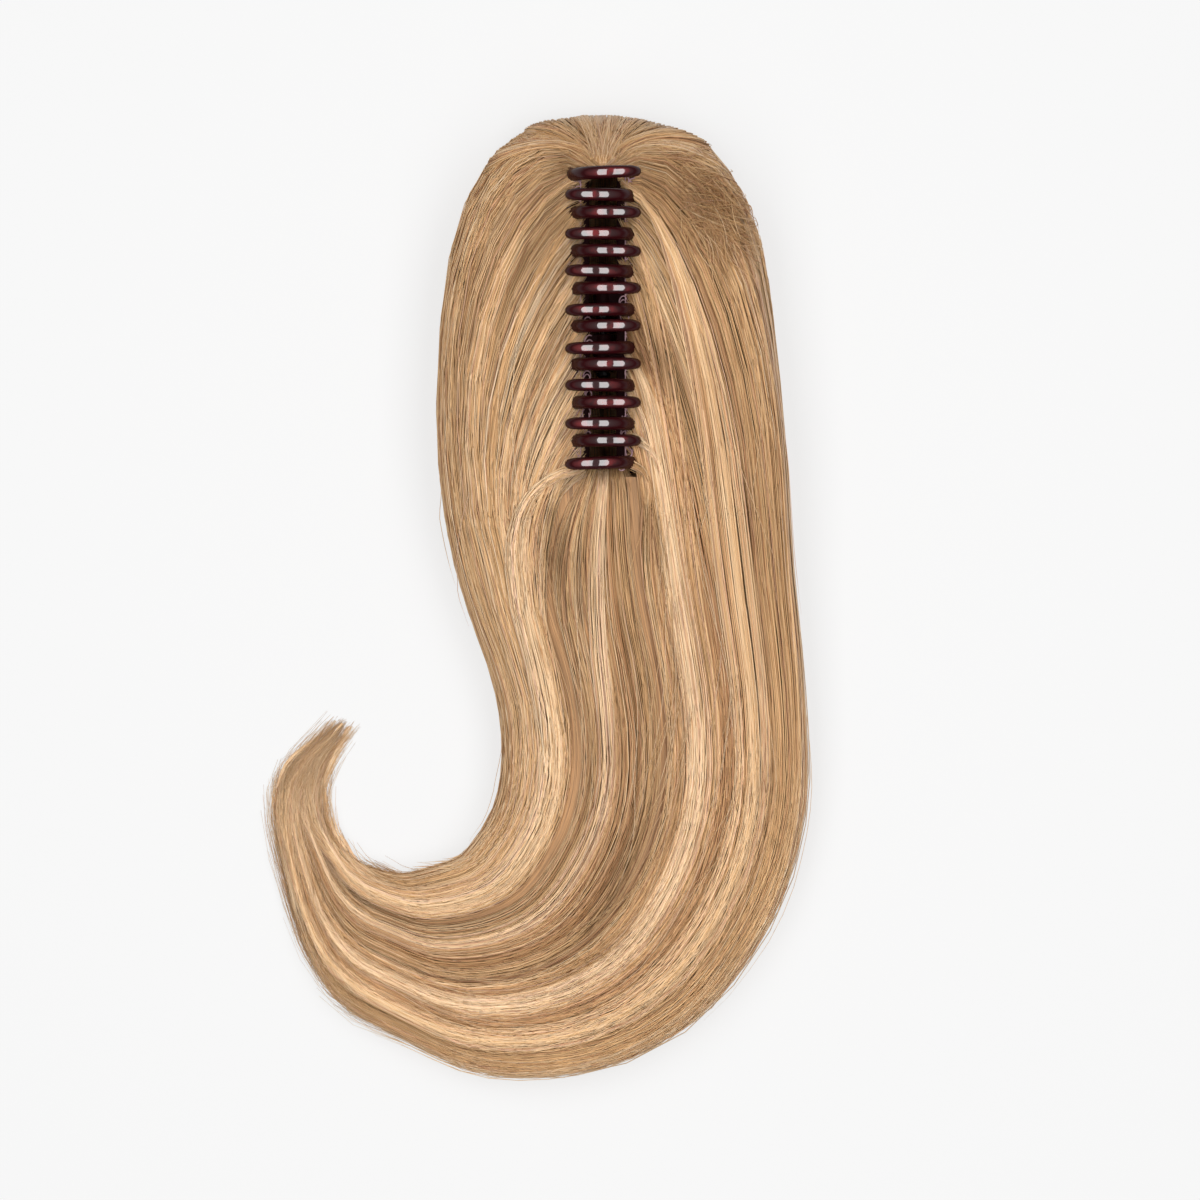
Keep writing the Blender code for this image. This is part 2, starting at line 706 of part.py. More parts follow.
def make_hair(finishes):
    """Fuses the locks to the backing, cuts the clip's chamber, then parts it into a tail and two curtains."""
    stations = hair_stations()
    hair = backing(stations)
    for row in LOCKS:
        boolean(hair, make_lock(stations, lock_path(stations, row), row[4]), "UNION")
    for lane, width in CROWN_LOCKS:
        boolean(hair, make_lock(stations, crown_path(lane), width), "UNION")
    fill_pockets(hair)
    boolean(hair, chamber(), "DIFFERENCE")
    far = 2 * (TAIL_LENGTH + TAIL_WIDTH + JAW_LENGTH + CURTAIN_WIDTH)
    half_gap = PIECE_GAP / 2
    tail = copy_of(hair, "hair_tail")
    boolean(tail, box("cut", (-far, SEAM_Y - half_gap, BACK_LAYER - half_gap), (far, far, far)), "DIFFERENCE")
    made = [tail]
    for name, side in (("hair_left", -1), ("hair_right", 1)):
        curtain = copy_of(hair, name)
        low_x = -far if side < 0 else half_gap
        high_x = -half_gap if side < 0 else far
        keep = box("keep", (low_x, SEAM_Y + half_gap, BACK_LAYER + half_gap), (high_x, far, far))
        boolean(curtain, keep, "INTERSECT")
        made.append(curtain)
    bpy.data.objects.remove(hair)
    for obj, finish in zip(made, finishes):
        obj.data.materials.clear()
        obj.data.materials.append(finish)
        round_shading(obj, 50)
    return made


def main():
    clear_scene()
    red = (0.045, 0.006, 0.008)
    make_jaw("jaw_left", -1, material("left_jaw_resin", red, 0.12))
    make_jaw("jaw_right", 1, material("right_jaw_resin", red, 0.12))
    make_pin(material("pin_steel", (0.55, 0.55, 0.56), 0.3, 1.0))
    make_spring(material("spring_steel", (0.50, 0.50, 0.52), 0.3, 1.0))
    make_net("net_left", -1, material("left_net_thread", (0.13, 0.06, 0.07), 0.8))
    make_net("net_right", 1, material("right_net_thread", (0.13, 0.06, 0.07), 0.8))
    blonde = (0.52, 0.33, 0.16)
    make_hair(
        (
            material("tail_hair", blonde, 0.45),
            material("left_hair", blonde, 0.45),
            material("right_hair", blonde, 0.45),
        )
    )


main()
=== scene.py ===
"""Dresses the ponytail hairpiece: strands over a bed of hair, the claw clip, its nets, and a studio."""

import math

import bmesh
import bpy
import numpy as np
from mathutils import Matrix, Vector


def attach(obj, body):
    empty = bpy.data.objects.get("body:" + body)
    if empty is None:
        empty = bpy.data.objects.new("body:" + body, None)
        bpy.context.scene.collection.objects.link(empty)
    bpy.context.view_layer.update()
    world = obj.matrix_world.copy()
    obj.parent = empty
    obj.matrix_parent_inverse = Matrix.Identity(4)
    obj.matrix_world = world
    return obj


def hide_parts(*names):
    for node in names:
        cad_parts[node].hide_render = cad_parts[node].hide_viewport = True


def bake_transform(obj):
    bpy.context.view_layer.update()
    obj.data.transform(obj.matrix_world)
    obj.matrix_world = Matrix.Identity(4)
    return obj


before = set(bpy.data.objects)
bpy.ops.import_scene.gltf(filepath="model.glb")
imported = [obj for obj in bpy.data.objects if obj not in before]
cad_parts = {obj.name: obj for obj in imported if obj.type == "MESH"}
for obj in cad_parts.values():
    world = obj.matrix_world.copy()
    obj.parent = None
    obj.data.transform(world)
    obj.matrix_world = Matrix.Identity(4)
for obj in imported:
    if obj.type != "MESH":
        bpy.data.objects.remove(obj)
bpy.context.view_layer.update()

bl_info = {
    "name": "Ponytail Hairpiece",
    "version": (1, 0, 0),
    "blender": (4, 5, 0),
    "location": "View3D > Sidebar > Hairpiece",
    "description": "Builds a claw-clip ponytail of blonde hair round its packed frame",
    "category": "Object",
}

MM = 0.001
ROOT = "hair"
JAWS = {-1: "left_claw", 1: "right_claw"}

# The hair's plan beside the clip, as the solids have it. Each row: how far along from the crown's top edge to
# the seam under the clip, how far out the left and right edges stand as shares of a curtain's width past the
# clip's chamber, and the height as a share of the hair's full height.
BESIDE_CLIP = (
    # along, left, right, height
    (0.000, -0.13, -0.20, 0.10),
    (0.020, 0.14, 0.08, 0.30),
    (0.070, 0.35, 0.41, 0.57),
    (0.125, 0.50, 0.55, 0.80),
    (0.183, 0.60, 0.64, 0.92),
    (0.295, 0.73, 0.78, 0.99),
    (0.459, 0.82, 0.87, 1.00),
    (0.672, 0.87, 0.94, 1.00),
    (0.893, 0.88, 1.00, 0.99),
)

# The tail's plan past the seam: the edge inside the curl, the edge outside it, and the height. The last row
# is past the solid's tip, where only single strands reach.
TAIL = (
    # inner x, inner y, outer x, outer y, height
    (-0.485, 0.055, 0.572, 0.055, 0.93),
    (-0.455, 0.140, 0.582, 0.140, 0.85),
    (-0.400, 0.239, 0.600, 0.239, 0.78),
    (-0.334, 0.338, 0.615, 0.338, 0.72),
    (-0.306, 0.438, 0.625, 0.438, 0.68),
    (-0.314, 0.512, 0.625, 0.527, 0.66),
    (-0.345, 0.567, 0.600, 0.612, 0.65),
    (-0.382, 0.597, 0.555, 0.696, 0.63),
    (-0.418, 0.625, 0.464, 0.790, 0.60),
    (-0.455, 0.639, 0.309, 0.896, 0.56),
    (-0.497, 0.647, 0.091, 0.970, 0.51),
    (-0.545, 0.655, -0.136, 1.000, 0.45),
    (-0.600, 0.662, -0.382, 0.993, 0.39),
    (-0.655, 0.659, -0.618, 0.935, 0.33),
    (-0.709, 0.650, -0.812, 0.877, 0.27),
    (-0.764, 0.637, -0.918, 0.781, 0.22),
    (-0.805, 0.615, -0.968, 0.677, 0.17),
    (-0.848, 0.584, -0.997, 0.587, 0.13),
    (-0.875, 0.527, -0.995, 0.522, 0.10),
    (-0.855, 0.483, -0.955, 0.473, 0.08),
    (-0.815, 0.440, -0.860, 0.432, 0.05),
    (-0.772, 0.404, -0.800, 0.398, 0.04),
)

CLIP_TO_SEAM = 52.5 * MM
CROWN_TOP = 70.0 * MM
CHAMBER_X = 14.4 * MM
CURTAIN_WIDTH = 47.0 * MM
TAIL_LENGTH = 201.0 * MM
TAIL_WIDTH = 110.0 * MM
HAIR_HEIGHT = 47.5 * MM
SIDE_LEVEL = 0.28
PLAN_POWER = 0.75
CROWN_POWER = 0.80
UNDER_STEEPNESS = 1.3

# Guides for the hair that grows from the left jaw, from the outermost in. Each row: the root in mm, the way
# it leaves in degrees from +X, how strongly, then where it joins the tail's flow: y, lane and how strongly.
LEFT_GUIDES = (
    # root x, root y, leaves, pull, join y, lane, join pull
    (-1.7, 50.3, 125, 39.0, -33, 0.004, 83),
    (-2.6, 50.0, 127, 33.0, -42, 0.020, 82),
    (-3.5, 49.3, 132, 27.0, -50, 0.040, 80),
    (-4.6, 48.2, 142, 22.0, -56, 0.064, 78),
    (-5.8, 46.0, 156, 18.0, -62, 0.088, 75),
    (-6.6, 40.0, 180, 14.0, -73, 0.110, 68),
    (-6.8, 28.0, 213, 11.5, -83, 0.130, 60),
    (-6.8, 13.0, 234, 11.0, -93, 0.148, 53),
    (-6.8, -3.0, 238, 11.5, -100, 0.165, 47),
    (-6.8, -21.0, 240, 11.0, -103, 0.182, 43),
    (-6.8, -37.0, 240, 10.0, -107, 0.195, 40),
    (-6.0, -51.8, 207, 14.0, -123, 0.170, 45),
)

RIGHT_GUIDES = (
    # root x, root y, leaves, pull, join y, lane, join pull
    (1.0, 50.3, 51, 41.0, -33, 0.997, 83),
    (2.5, 49.3, 43, 29.0, -50, 0.972, 80),
    (5.0, 47.0, 26, 21.0, -60, 0.940, 76),
    (7.0, 43.0, 11, 15.0, -73, 0.890, 68),
    (8.2, 30.0, -34, 10.0, -83, 0.830, 60),
    (8.2, 15.0, -45, 10.4, -93, 0.770, 55),
    (8.2, 0.0, -56, 11.0, -97, 0.710, 50),
    (8.2, -14.0, -57, 10.0, -103, 0.660, 45),
    (8.2, -30.0, -54, 9.0, -107, 0.610, 42),
    (8.2, -45.0, -38, 9.0, -112, 0.560, 38),
)

CENTRE_GUIDES = (
    # root x, root y, leaves, pull, join y, lane, join pull
    (-7.0, -49.5, 240, 9.0, -107, 0.215, 32),
    (-4.0, -50.0, 252, 9.0, -107, 0.290, 30),
    (-1.0, -50.5, 266, 9.0, -107, 0.360, 30),
    (1.5, -50.5, 272, 9.0, -107, 0.430, 30),
    (4.5, -50.0, 284, 9.0, -107, 0.490, 30),
    (8.0, -49.0, 302, 9.0, -107, 0.545, 32),
)

# Locks that stand out of the lay. Each row: a guide as above, then the lock's width in mm at its root and
# where it joins, how far it stands proud in mm, its tone from brown (0) to pale (1), and its strands.
FEATURE_LOCKS = (
    # root x, root y, leaves, pull, join y, lane, join pull, root width, tail width, proud, tone, strands
    (7.0, 43.5, -22, 15.0, -75, 0.815, 70, 5.0, 13.0, 2.0, 0.66, 130),
    (8.0, 31.0, -55, 12.0, -72, 0.700, 62, 6.0, 7.0, 0.3, 0.40, 60),
    (7.6, 18.0, -58, 13.0, -80, 0.680, 56, 6.0, 6.0, 0.7, 0.52, 60),
    (7.8, 0.0, -50, 14.0, -88, 0.665, 50, 5.0, 6.0, 0.3, 0.35, 50),
    (7.8, -12.0, -44, 14.0, -100, 0.655, 46, 6.0, 7.0, 1.4, 0.74, 70),
    (7.8, -24.0, -40, 13.0, -105, 0.625, 42, 5.0, 5.0, 0.8, 0.70, 50),
    (11.0, -40.0, -22, 13.0, -110, 0.635, 44, 4.0, 7.5, 1.3, 0.82, 70),
    (8.5, -48.0, -15, 13.0, -100, 0.560, 36, 3.0, 5.0, 0.5, 0.45, 45),
    (-4.5, 48.0, 185, 19.0, -90, 0.100, 85, 4.0, 10.0, 0.7, 0.60, 90),
    (-6.4, 36.0, 226, 14.0, -85, 0.140, 66, 6.0, 7.0, 0.6, 0.50, 60),
    (-6.6, 17.0, 238, 14.0, -92, 0.160, 56, 6.0, 6.0, 0.6, 0.66, 60),
    (-6.6, -2.0, 240, 14.0, -100, 0.172, 48, 6.0, 6.0, 0.8, 0.56, 60),
    (-6.6, -20.0, 240, 13.0, -106, 0.184, 42, 6.0, 6.0, 0.6, 0.70, 60),
    (-6.6, -35.0, 234, 13.0, -110, 0.192, 40, 5.0, 6.0, 0.9, 0.58, 60),
    (-6.5, -49.0, 192, 19.0, -114, 0.160, 48, 3.0, 8.0, 2.0, 0.80, 100),
    (0.0, -50.5, 270, 12.0, -127, 0.345, 48, 3.0, 6.0, 0.8, 0.78, 60),
)

# How pale the hair is across the tail, from its left edge to its right.
STREAKS = (
    # lane, tone
    (0.00, 0.55),
    (0.07, 0.42),
    (0.15, 0.72),
    (0.20, 0.64),
    (0.24, 0.28),
    (0.30, 0.62),
    (0.36, 0.44),
    (0.44, 0.24),
    (0.52, 0.45),
    (0.57, 0.32),
    (0.63, 0.70),
    (0.69, 0.24),
    (0.75, 0.42),
    (0.81, 0.68),
    (0.87, 0.50),
    (0.94, 0.40),
    (1.00, 0.60),
)

# Places browner or paler than the lay round them; a browner one also darkens the strands there, as painted
# shade in the
# gaps and hollows. Each row: the middle in mm, how far it reaches along its heading and across it in mm, the
# heading in degrees, and what it adds to the tone.
SPOTS = (
    # x, y, along, across, heading, tone
    (29.0, 41.0, 17.0, 9.0, -38, -0.20),
    (19.0, -15.0, 15.0, 4.5, -40, -0.36),
    (-16.0, -73.0, 13.0, 3.5, -82, -0.34),
    (17.0, -72.0, 11.0, 3.5, -72, -0.30),
    (1.0, -96.0, 38.0, 2.2, -90, 0.14),
    (-20.0, 35.0, 22.0, 4.0, 62, -0.20),
    (5.0, -188.0, 30.0, 7.0, 62, -0.18),
)

# Where loose loops of the net show between the teeth, in mm
NET_LOOPS = {
    -1: (
        # x, y
        (-5.2, -1.0), (-4.6, -8.0), (-5.2, -14.5), (-5.4, -19.0), (-4.8, -24.5), (-5.6, -31.0), (-5.0, -38.0),
    ),
    1: (
        # x, y
        (6.6, 5.5), (7.2, 1.5), (7.8, -33.0), (7.0, -38.0), (8.6, -43.5), (6.2, -47.5),
    ),
}

# The net's section beside a jaw and its reach along it, in mm
NET_PROFILE = (
    # x, z
    (10.2, 29.5), (12.0, 32.5), (12.6, 36.0), (12.4, 39.5), (11.2, 43.0), (9.4, 46.0), (7.4, 47.0),
)
NET_REACH = 48.0

# The clip's sizes in mm, as the solids have them
JAW_LENGTH = 102.0
JAW_WALL = 2.0
JAW_BULGE = 11.2
JAW_RISE = 19.5
JAW_END_ROUND = 6.0
TEETH = 8
TOOTH_END_ROOM = 1.2
TOOTH_STAGGER = 7.0
TOOTH_WIDTH = 4.8
TOOTH_DEPTH = 3.6
TOOTH_RISE = 28.3
TOOTH_REACH = 12.3
TOOTH_LEAN = 1.0
PIN_AT = 26.0
KNUCKLE_RADIUS = 3.2
KNUCKLE_LENGTH = 6.0
KNUCKLES_AT = {-1: (14.0, -7.7), 1: (7.7, -14.0)}
LEVER_LENGTH = 21.0
LEVER_WIDTH = 24.0
LEVER_WALL = 2.0

# How high the strands' roots stand on the clip, in mm
SURFACE_ROOTS = 47.8
FLANK_ROOTS = 45.0
LOCK_ROOTS = 48.6
CENTRE_ROOTS = 44.5
STREAK_ROOTS = 45.0
CROWN_ROOTS = 44.0

# How many strands make a lock, and what share of all strands each group has
STRANDS_A_LOCK = 20
STRANDS_A_CENTRE_LOCK = 18
SIDE_SHARE = 0.30
TUCKED_SHARE = 0.26
CENTRE_SHARE = 0.13

# How near to the edge lanes a strand's lane may be
FLOW_EDGE = 0.0005

# Feature locks rooted at or below this y, in mm, belong to the centre hair
CENTRE_LOCK_Y = -50.2

# Strands parted further out than BLEND_TO, outward, are grouped apart from those that stay near the middle.
# BLEND_FROM and BEND_FROM_Y mark where a bend with a jaw would start, but nothing bends the hair. Each strand
# is parted at SPLIT_Y or up to SPLIT_SPREAD below it. Roots past STILL_PAST don't move.
SPLIT_Y = -62.0 * MM
SPLIT_SPREAD = 9.0 * MM
BEND_FROM_Y = -44 * MM
BLEND_FROM = 10.0 * MM
BLEND_TO = 20.0 * MM
STILL_PAST = 49.2 * MM

# Where the frizz lies, in mm: from the one x to the other, and how far down from its top
FRIZZ_FROM_X = 13
FRIZZ_TO_X = 42
FRIZZ_TOP = 57
FRIZZ_DROP = 24

# The share of strands with a rose tint, and the tint
ROSE_SHARE = 0.14
ROSE_TINT = (0.90, 0.80, 0.86)

# The room that the jaws swing through, to each side of the middle
JAW_SWING_X = 23.0 * MM
JAW_SWING_Y = 52.5 * MM

# The bed under the strands, and the layer under the clip
BED_INSET = 1.8 * MM
BACK_LAYER = 4.6 * MM
RING_POINTS = 60

# The wall of the clip's chamber from the bottom up, as the solids have it, in mm
CHAMBER_WALL = (
    # x, z
    (20.5, 5.5), (20.5, 17.0), (15.0, 23.0), (13.6, 30.0), (13.4, 40.0), (12.2, 43.5),
)

# The hollows beside the centre hair. Each row: its lane, and its depth as a share of the deeper one's.
HOLLOWS = (
    # lane, depth
    (0.235, 1.0),
    (0.53, 0.8),
)
HOLLOW_SPREAD = 0.03
HOLLOW_START = 5 * MM
HOLLOW_LENGTH = 34 * MM
HOLLOW_DEPTH = 4.5 * MM

# The net's slanting threads, in mm: the first and last start, the step between them, and how far each slants
NET_FROM = -58.0
NET_TO = 54.0
NET_STEP = 3.1
NET_SLANT = 9.0

# The studio, in metres and watts
HAIR_LEVEL = 0.030
LIGHT_X = 0.40
LIGHT_Y = -0.05
LIGHT_HEIGHT = 1.00
LIGHT_SIZE = (0.50, 1.7)
LIGHT_POWER = 9.6
WORLD_STRENGTH = 0.17
FLOOR_GLOW = 0.665
CAMERA_X = -1.0 * MM
CAMERA_Y = -93.3 * MM


def colour_property(name, description, default):
    return bpy.props.FloatVectorProperty(
        name=name, description=description, default=default, subtype="COLOR", min=0, max=1
    )


def length_property(name, description, default):
    return bpy.props.FloatProperty(
        name=name, description=description, default=default, min=0.0, subtype="DISTANCE", unit="LENGTH"
    )


def count_property(name, description, default):
    return bpy.props.IntProperty(name=name, description=description, default=default, min=10)


class HairSizes(bpy.types.PropertyGroup):
    """How fine and how full the hair is."""

    strand_radius: length_property("Strand radius", "Half the width of one modelled strand", 0.18 * MM)
    strands: count_property("Strands", "Strands from the clip to the tail", 3300)
    crown_strands: count_property("Crown strands", "Short strands over the crown", 640)
    under_strands: count_property("Under strands", "Strands on the underside", 340)
    flyaways: count_property("Flyaways", "Single hairs that cross the lay", 260)
    frizz: count_property("Frizz", "Short hairs that criss-cross to the right of the crown", 520)


class HairColours(bpy.types.PropertyGroup):
    """The hair's three tones, and the colour of the bed deep between the strands, painted darker than them as
    painted shade.
    """

    brown: colour_property("Brown", "Lowlights", (0.42, 0.205, 0.078))
    gold: colour_property("Gold", "Main tone", (0.71, 0.45, 0.215))
    pale: colour_property("Pale", "Highlights", (0.88, 0.68, 0.455))
    # Painted shade: the bed is darker than the strands so that it reads as the shade deep between them.
    bed: colour_property("Bed", "Hair seen deep between strands", (0.40, 0.21, 0.088))


class ClipLooks(bpy.types.PropertyGroup):
    """The claw's resin, the pin and the net."""

    resin_dark: colour_property("Resin, deep", "Thick resin", (0.026, 0.0026, 0.0036))
    # Painted glow: the red of light shining through thin resin, painted on the teeth's upward-facing tops.
    resin_painted_glow: colour_property("Resin, lit", "Thin resin with light in it", (0.17, 0.008, 0.010))
    # Painted shade: the pin and spring's steel is near-black so that they stay as dark as the shade down in
    # the slot.
    steel: colour_property("Steel", "Pin and spring", (0.035, 0.033, 0.033))
    net: colour_property("Net", "Net thread", (0.42, 0.25, 0.28))
    thread_radius: length_property("Net thread radius", "Half a net thread's width", 0.22 * MM)


class StudioLooks(bpy.types.PropertyGroup):
    """The floor, the lights and the camera."""

    floor: colour_property("Floor", "Floor colour", (0.22, 0.22, 0.22))
    camera_height: length_property("Camera height", "How high the camera stands", 2.5)
    frame_width: length_property("Frame width", "What the picture spans at the hair's level", 0.400)


class Value:
    """A socket whose arithmetic adds Math nodes."""

    def __init__(self, tree, socket):
        self.tree = tree
        self.socket = socket

    def _math(self, operation, *others):
        node = self.tree.nodes.new("ShaderNodeMath")
        node.operation = operation
        for slot, item in zip(node.inputs, (self, *others)):
            if isinstance(item, Value):
                self.tree.links.new(item.socket, slot)
            else:
                slot.default_value = item
        return Value(self.tree, node.outputs[0])

    def _as_value(self, number):
        node = self.tree.nodes.new("ShaderNodeMath")
        node.operation = "ADD"
        node.inputs[0].default_value = number
        node.inputs[1].default_value = 0.0
        return Value(self.tree, node.outputs[0])

    def __add__(self, other):
        return self._math("ADD", other)

    __radd__ = __add__

    def __mul__(self, other):
        return self._math("MULTIPLY", other)

    __rmul__ = __mul__

    def __rsub__(self, other):
        return self._as_value(other)._math("SUBTRACT", self)


class Finish:
    """A material and its nodes."""

    def __init__(self, name):
        self.material = bpy.data.materials.new(name)
        self.material.use_nodes = True
        self.tree = self.material.node_tree
        self.shader = self.tree.nodes["Principled BSDF"]

    def node(self, kind, settings=None, **sockets):
        """Adds a node: its settings, then its sockets, by name with _ for a space or by number as i0."""
        made = self.tree.nodes.new(kind)
        for key, value in (settings or {}).items():
            setattr(made, key, value)
        for key, value in sockets.items():
            numbered = key[0] == "i" and key[1:].isdigit()
            self.put(made.inputs[int(key[1:]) if numbered else key.replace("_", " ")], value)
        return made

    def put(self, slot, value):
        """Links a value or a socket to a slot, or writes a constant on it."""
        if isinstance(value, Value):
            self.tree.links.new(value.socket, slot)
        elif isinstance(value, bpy.types.NodeSocket):
            self.tree.links.new(value, slot)
        elif hasattr(value, "__len__") and len(value) == 3 and len(slot.default_value) == 4:
            slot.default_value = (*value, 1.0)
        else:
            slot.default_value = value

    def value(self, socket):
        return Value(self.tree, socket)

    def mix(self, share, low, high):
        """A colour between two others."""
        node = self.tree.nodes.new("ShaderNodeMix")
        node.data_type = "RGBA"
        self.put(node.inputs["Factor"], share)
        self.put(node.inputs[6], low)
        self.put(node.inputs[7], high)
        return node.outputs[2]

    def set(self, **sockets):
        for key, value in sockets.items():
            self.put(self.shader.inputs[key.replace("_", " ")], value)


def scaled(colour, share):
    return tuple(share * part for part in colour)


def smoothstep(t):
    t = np.clip(t, 0.0, 1.0)
    return t * t * (3 - 2 * t)


class HairForm:
    """The hair's outer form: a cross-section at any distance along from the crown's edge to the tip."""

    def __init__(self):
        rows = []
        whole = CROWN_TOP + CLIP_TO_SEAM
        for along, left, right, height in BESIDE_CLIP:
            y = CROWN_TOP - along * whole
            left_x = -(CHAMBER_X + left * CURTAIN_WIDTH)
            right_x = CHAMBER_X + right * CURTAIN_WIDTH
            rows.append((along * whole, left_x, y, right_x, y, height * HAIR_HEIGHT))
        for inner_x, inner_y, outer_x, outer_y, height in TAIL:
            left = (inner_x * TAIL_WIDTH, -CLIP_TO_SEAM - inner_y * TAIL_LENGTH)
            right = (outer_x * TAIL_WIDTH, -CLIP_TO_SEAM - outer_y * TAIL_LENGTH)
            last = rows[-1]
            step = math.hypot(
                (left[0] + right[0] - last[1] - last[3]) / 2, (left[1] + right[1] - last[2] - last[4]) / 2
            )
            distance = CROWN_TOP - left[1] if left[1] == right[1] else last[0] + step
            rows.append((distance, *left, *right, height * HAIR_HEIGHT))
        self.rows = np.array(rows)
        self.places = self.rows[:, 0]
        self.solid_end = self.places[-2]
        self.end = self.places[-1]
        self.slopes = self._slopes()

    def _slopes(self):
        values = self.rows[:, 1:]
        step = np.diff(self.places)[:, None]
        rise = np.diff(values, axis=0) / step
        inner = (rise[1:] + rise[:-1]) / 2
        return np.vstack([rise[:1], inner, rise[-1:]])

    def section(self, along):
        """Left x and y, right x and y, and height, for an array of distances along."""
        along = np.clip(np.asarray(along, float), 0.0, self.end)
        k = np.clip(np.searchsorted(self.places, along, side="right") - 1, 0, len(self.places) - 2)
        span = self.places[k + 1] - self.places[k]
        t = ((along - self.places[k]) / span)[..., None]
        span = span[..., None]
        a = self.rows[k, 1:]
        b = self.rows[k + 1, 1:]
        sa = self.slopes[k] * span
        sb = self.slopes[k + 1] * span
        t2 = t * t
        t3 = t2 * t
        return (2 * t3 - 3 * t2 + 1) * a + (t3 - 2 * t2 + t) * sa + (3 * t2 - 2 * t3) * b + (t3 - t2) * sb

    def lane_point(self, along, lane):
        cut = self.section(along)
        lane = np.asarray(lane)[..., None]
        return cut[..., 0:2] * (1 - lane) + cut[..., 2:4] * lane

    def lane_of(self, x, y):
        cut = self.section(CROWN_TOP - y)
        return (x - cut[..., 0]) / (cut[..., 2] - cut[..., 0])

    def beyond(self, along, lane):
        """How far a lane outside the edges carries a point in plan past the edge."""
        cut = self.section(along)
        extra = lane - np.clip(lane, 0.0, 1.0)
        return (cut[..., 2:4] - cut[..., 0:2]) * extra[..., None]

    @staticmethod
    def angle_of(lane):
        """The angle round a cross-section, 0 at its widest and a quarter turn at its top, for a lane."""
        out = np.clip(np.abs(2 * lane - 1), 0.0, 1.0)
        return np.arccos(np.clip(out ** (1 / PLAN_POWER), 0, 1))

    def surface(self, along, side, angle, inset):
        """Points at an angle round the section's left (-1) or right (1) half, inset below its surface."""
        cut = self.section(along)
        middle = (cut[..., 0:2] + cut[..., 2:4]) / 2
        half = (cut[..., 2:4] - cut[..., 0:2]) / 2
        length = np.linalg.norm(half, axis=-1)
        shrink = np.clip(1 - inset / np.maximum(length, 0.5 * MM), 0.0, 1.2)
        out = np.abs(np.cos(angle)) ** PLAN_POWER * side * shrink
        plan = middle + half * out[..., None]
        height = cut[..., 4]
        up = np.sin(angle)
        rise = np.maximum(up, 0)
        fall = np.maximum(-up, 0)
        above = height * (SIDE_LEVEL + (1 - SIDE_LEVEL) * rise**CROWN_POWER) - inset * rise
        below = height * SIDE_LEVEL * np.maximum(0.0, 1 - UNDER_STEEPNESS * fall) + inset * fall
        z = np.where(up >= 0, above, below)
        return np.concatenate([plan, np.maximum(z, 0.5 * MM)[..., None]], axis=-1)

    def over(self, along, lanes, depth, edge=0.001, tuck=0.0):
        """Points over the form by their lanes, out past its edges in plan where a lane is past them."""
        inner = np.clip(lanes, edge, 1 - edge)
        side = np.where(inner < 0.5, -1.0, 1.0)
        points = self.surface(along, side, self.angle_of(inner) - tuck, depth)
        points[..., 0:2] += self.beyond(along, lanes)
        return points


FORM = HairForm()


def smooth_noise(places, cells, rng):
    """A smooth wave of random heights from -1 to 1, over places from 0 to 1."""
    heights = rng.uniform(-1, 1, cells + 3)
    at = np.clip(places, 0, 1) * cells
    k = np.floor(at).astype(int)
    t = smoothstep(at - k)
    return heights[k] * (1 - t) + heights[k + 1] * t


def guided(table, at):
    """A guide table's values between its rows, at fractional row numbers."""
    rows = np.array(table, float)
    at = np.clip(at, 0, len(rows) - 1)
    k = np.minimum(np.floor(at).astype(int), len(rows) - 2)
    t = (at - k)[:, None]
    return rows[k] * (1 - t) + rows[k + 1] * t


def lay_locks(table, locks, per_lock, spread, rng):
    """Strand rows for random locks over a guide table: the guides' columns, then what each strand adds."""
    last = len(table) - 1
    centre = (np.arange(locks) + rng.uniform(0, 1, locks)) / locks * last
    rng.shuffle(centre)
    half = spread * rng.uniform(0.6, 1.5, locks)
    lock = np.repeat(np.arange(locks), per_lock)
    count = len(lock)
    u = rng.uniform(-1, 1, count)
    at = np.abs(centre[lock] + u * half[lock])
    at = last - np.abs(last - at)
    rows = guided(table, at)
    rows[:, 2] += rng.normal(0, 3.5, locks)[lock]
    rows[:, 4] += rng.normal(0, 6, locks)[lock]
    rows[:, 5] += rng.normal(0, 0.007, locks)[lock]
    middle = guided(table, centre[lock])[:, 5]
    return {
        "rows": rows,
        "middle": middle,
        "u": u,
        "inset": rng.uniform(-0.5, 1.0, locks)[lock] + 0.8 * u * u + np.abs(rng.normal(0, 0.45, count)),
        "tone": np.interp(middle, *np.array(STREAKS).T) + rng.normal(0, 0.12, locks)[lock],
        "ends": rng.choice([0.84, 0.92, 0.97, 1.0], locks)[lock] * rng.uniform(0.93, 1.0, count),
        "tuck": np.zeros(count),
        "drift": rng.normal(0, 0.006, locks)[lock],
        "phase": rng.uniform(0, 6.3, locks)[lock],
    }


def lay_feature(row, rng):
    """Strand rows for one named lock."""
    count = int(row[11] * 0.85)
    u = rng.uniform(-1, 1, count)
    rows = np.repeat(np.array(row[:7], float)[None, :], count, axis=0)
    leave = math.radians(row[2])
    rows[:, 0] += -math.sin(leave) * u * row[7] / 2 * np.sign(math.cos(leave) + 0.01)
    rows[:, 1] += abs(math.cos(leave)) * -u * np.sign(row[5] - 0.5) * row[7] / 2
    cut = FORM.section(np.array([CROWN_TOP - row[4] * MM]))[0]
    rows[:, 5] += u * row[8] * MM / 2 / (cut[2] - cut[0])
    return {
        "rows": rows,
        "middle": np.full(count, float(row[5])),
        "u": u,
        "inset": -row[9] + 1.5 * u * u + np.abs(rng.normal(0, 0.45, count)),
        "tone": row[10] + rng.normal(0, 0.05, count),
        "ends": rng.uniform(0.93, 0.995, count),
        "tuck": np.zeros(count),
        "drift": np.full(count, rng.normal(0, 0.004)),
        "phase": np.full(count, rng.uniform(0, 6.3)),
    }


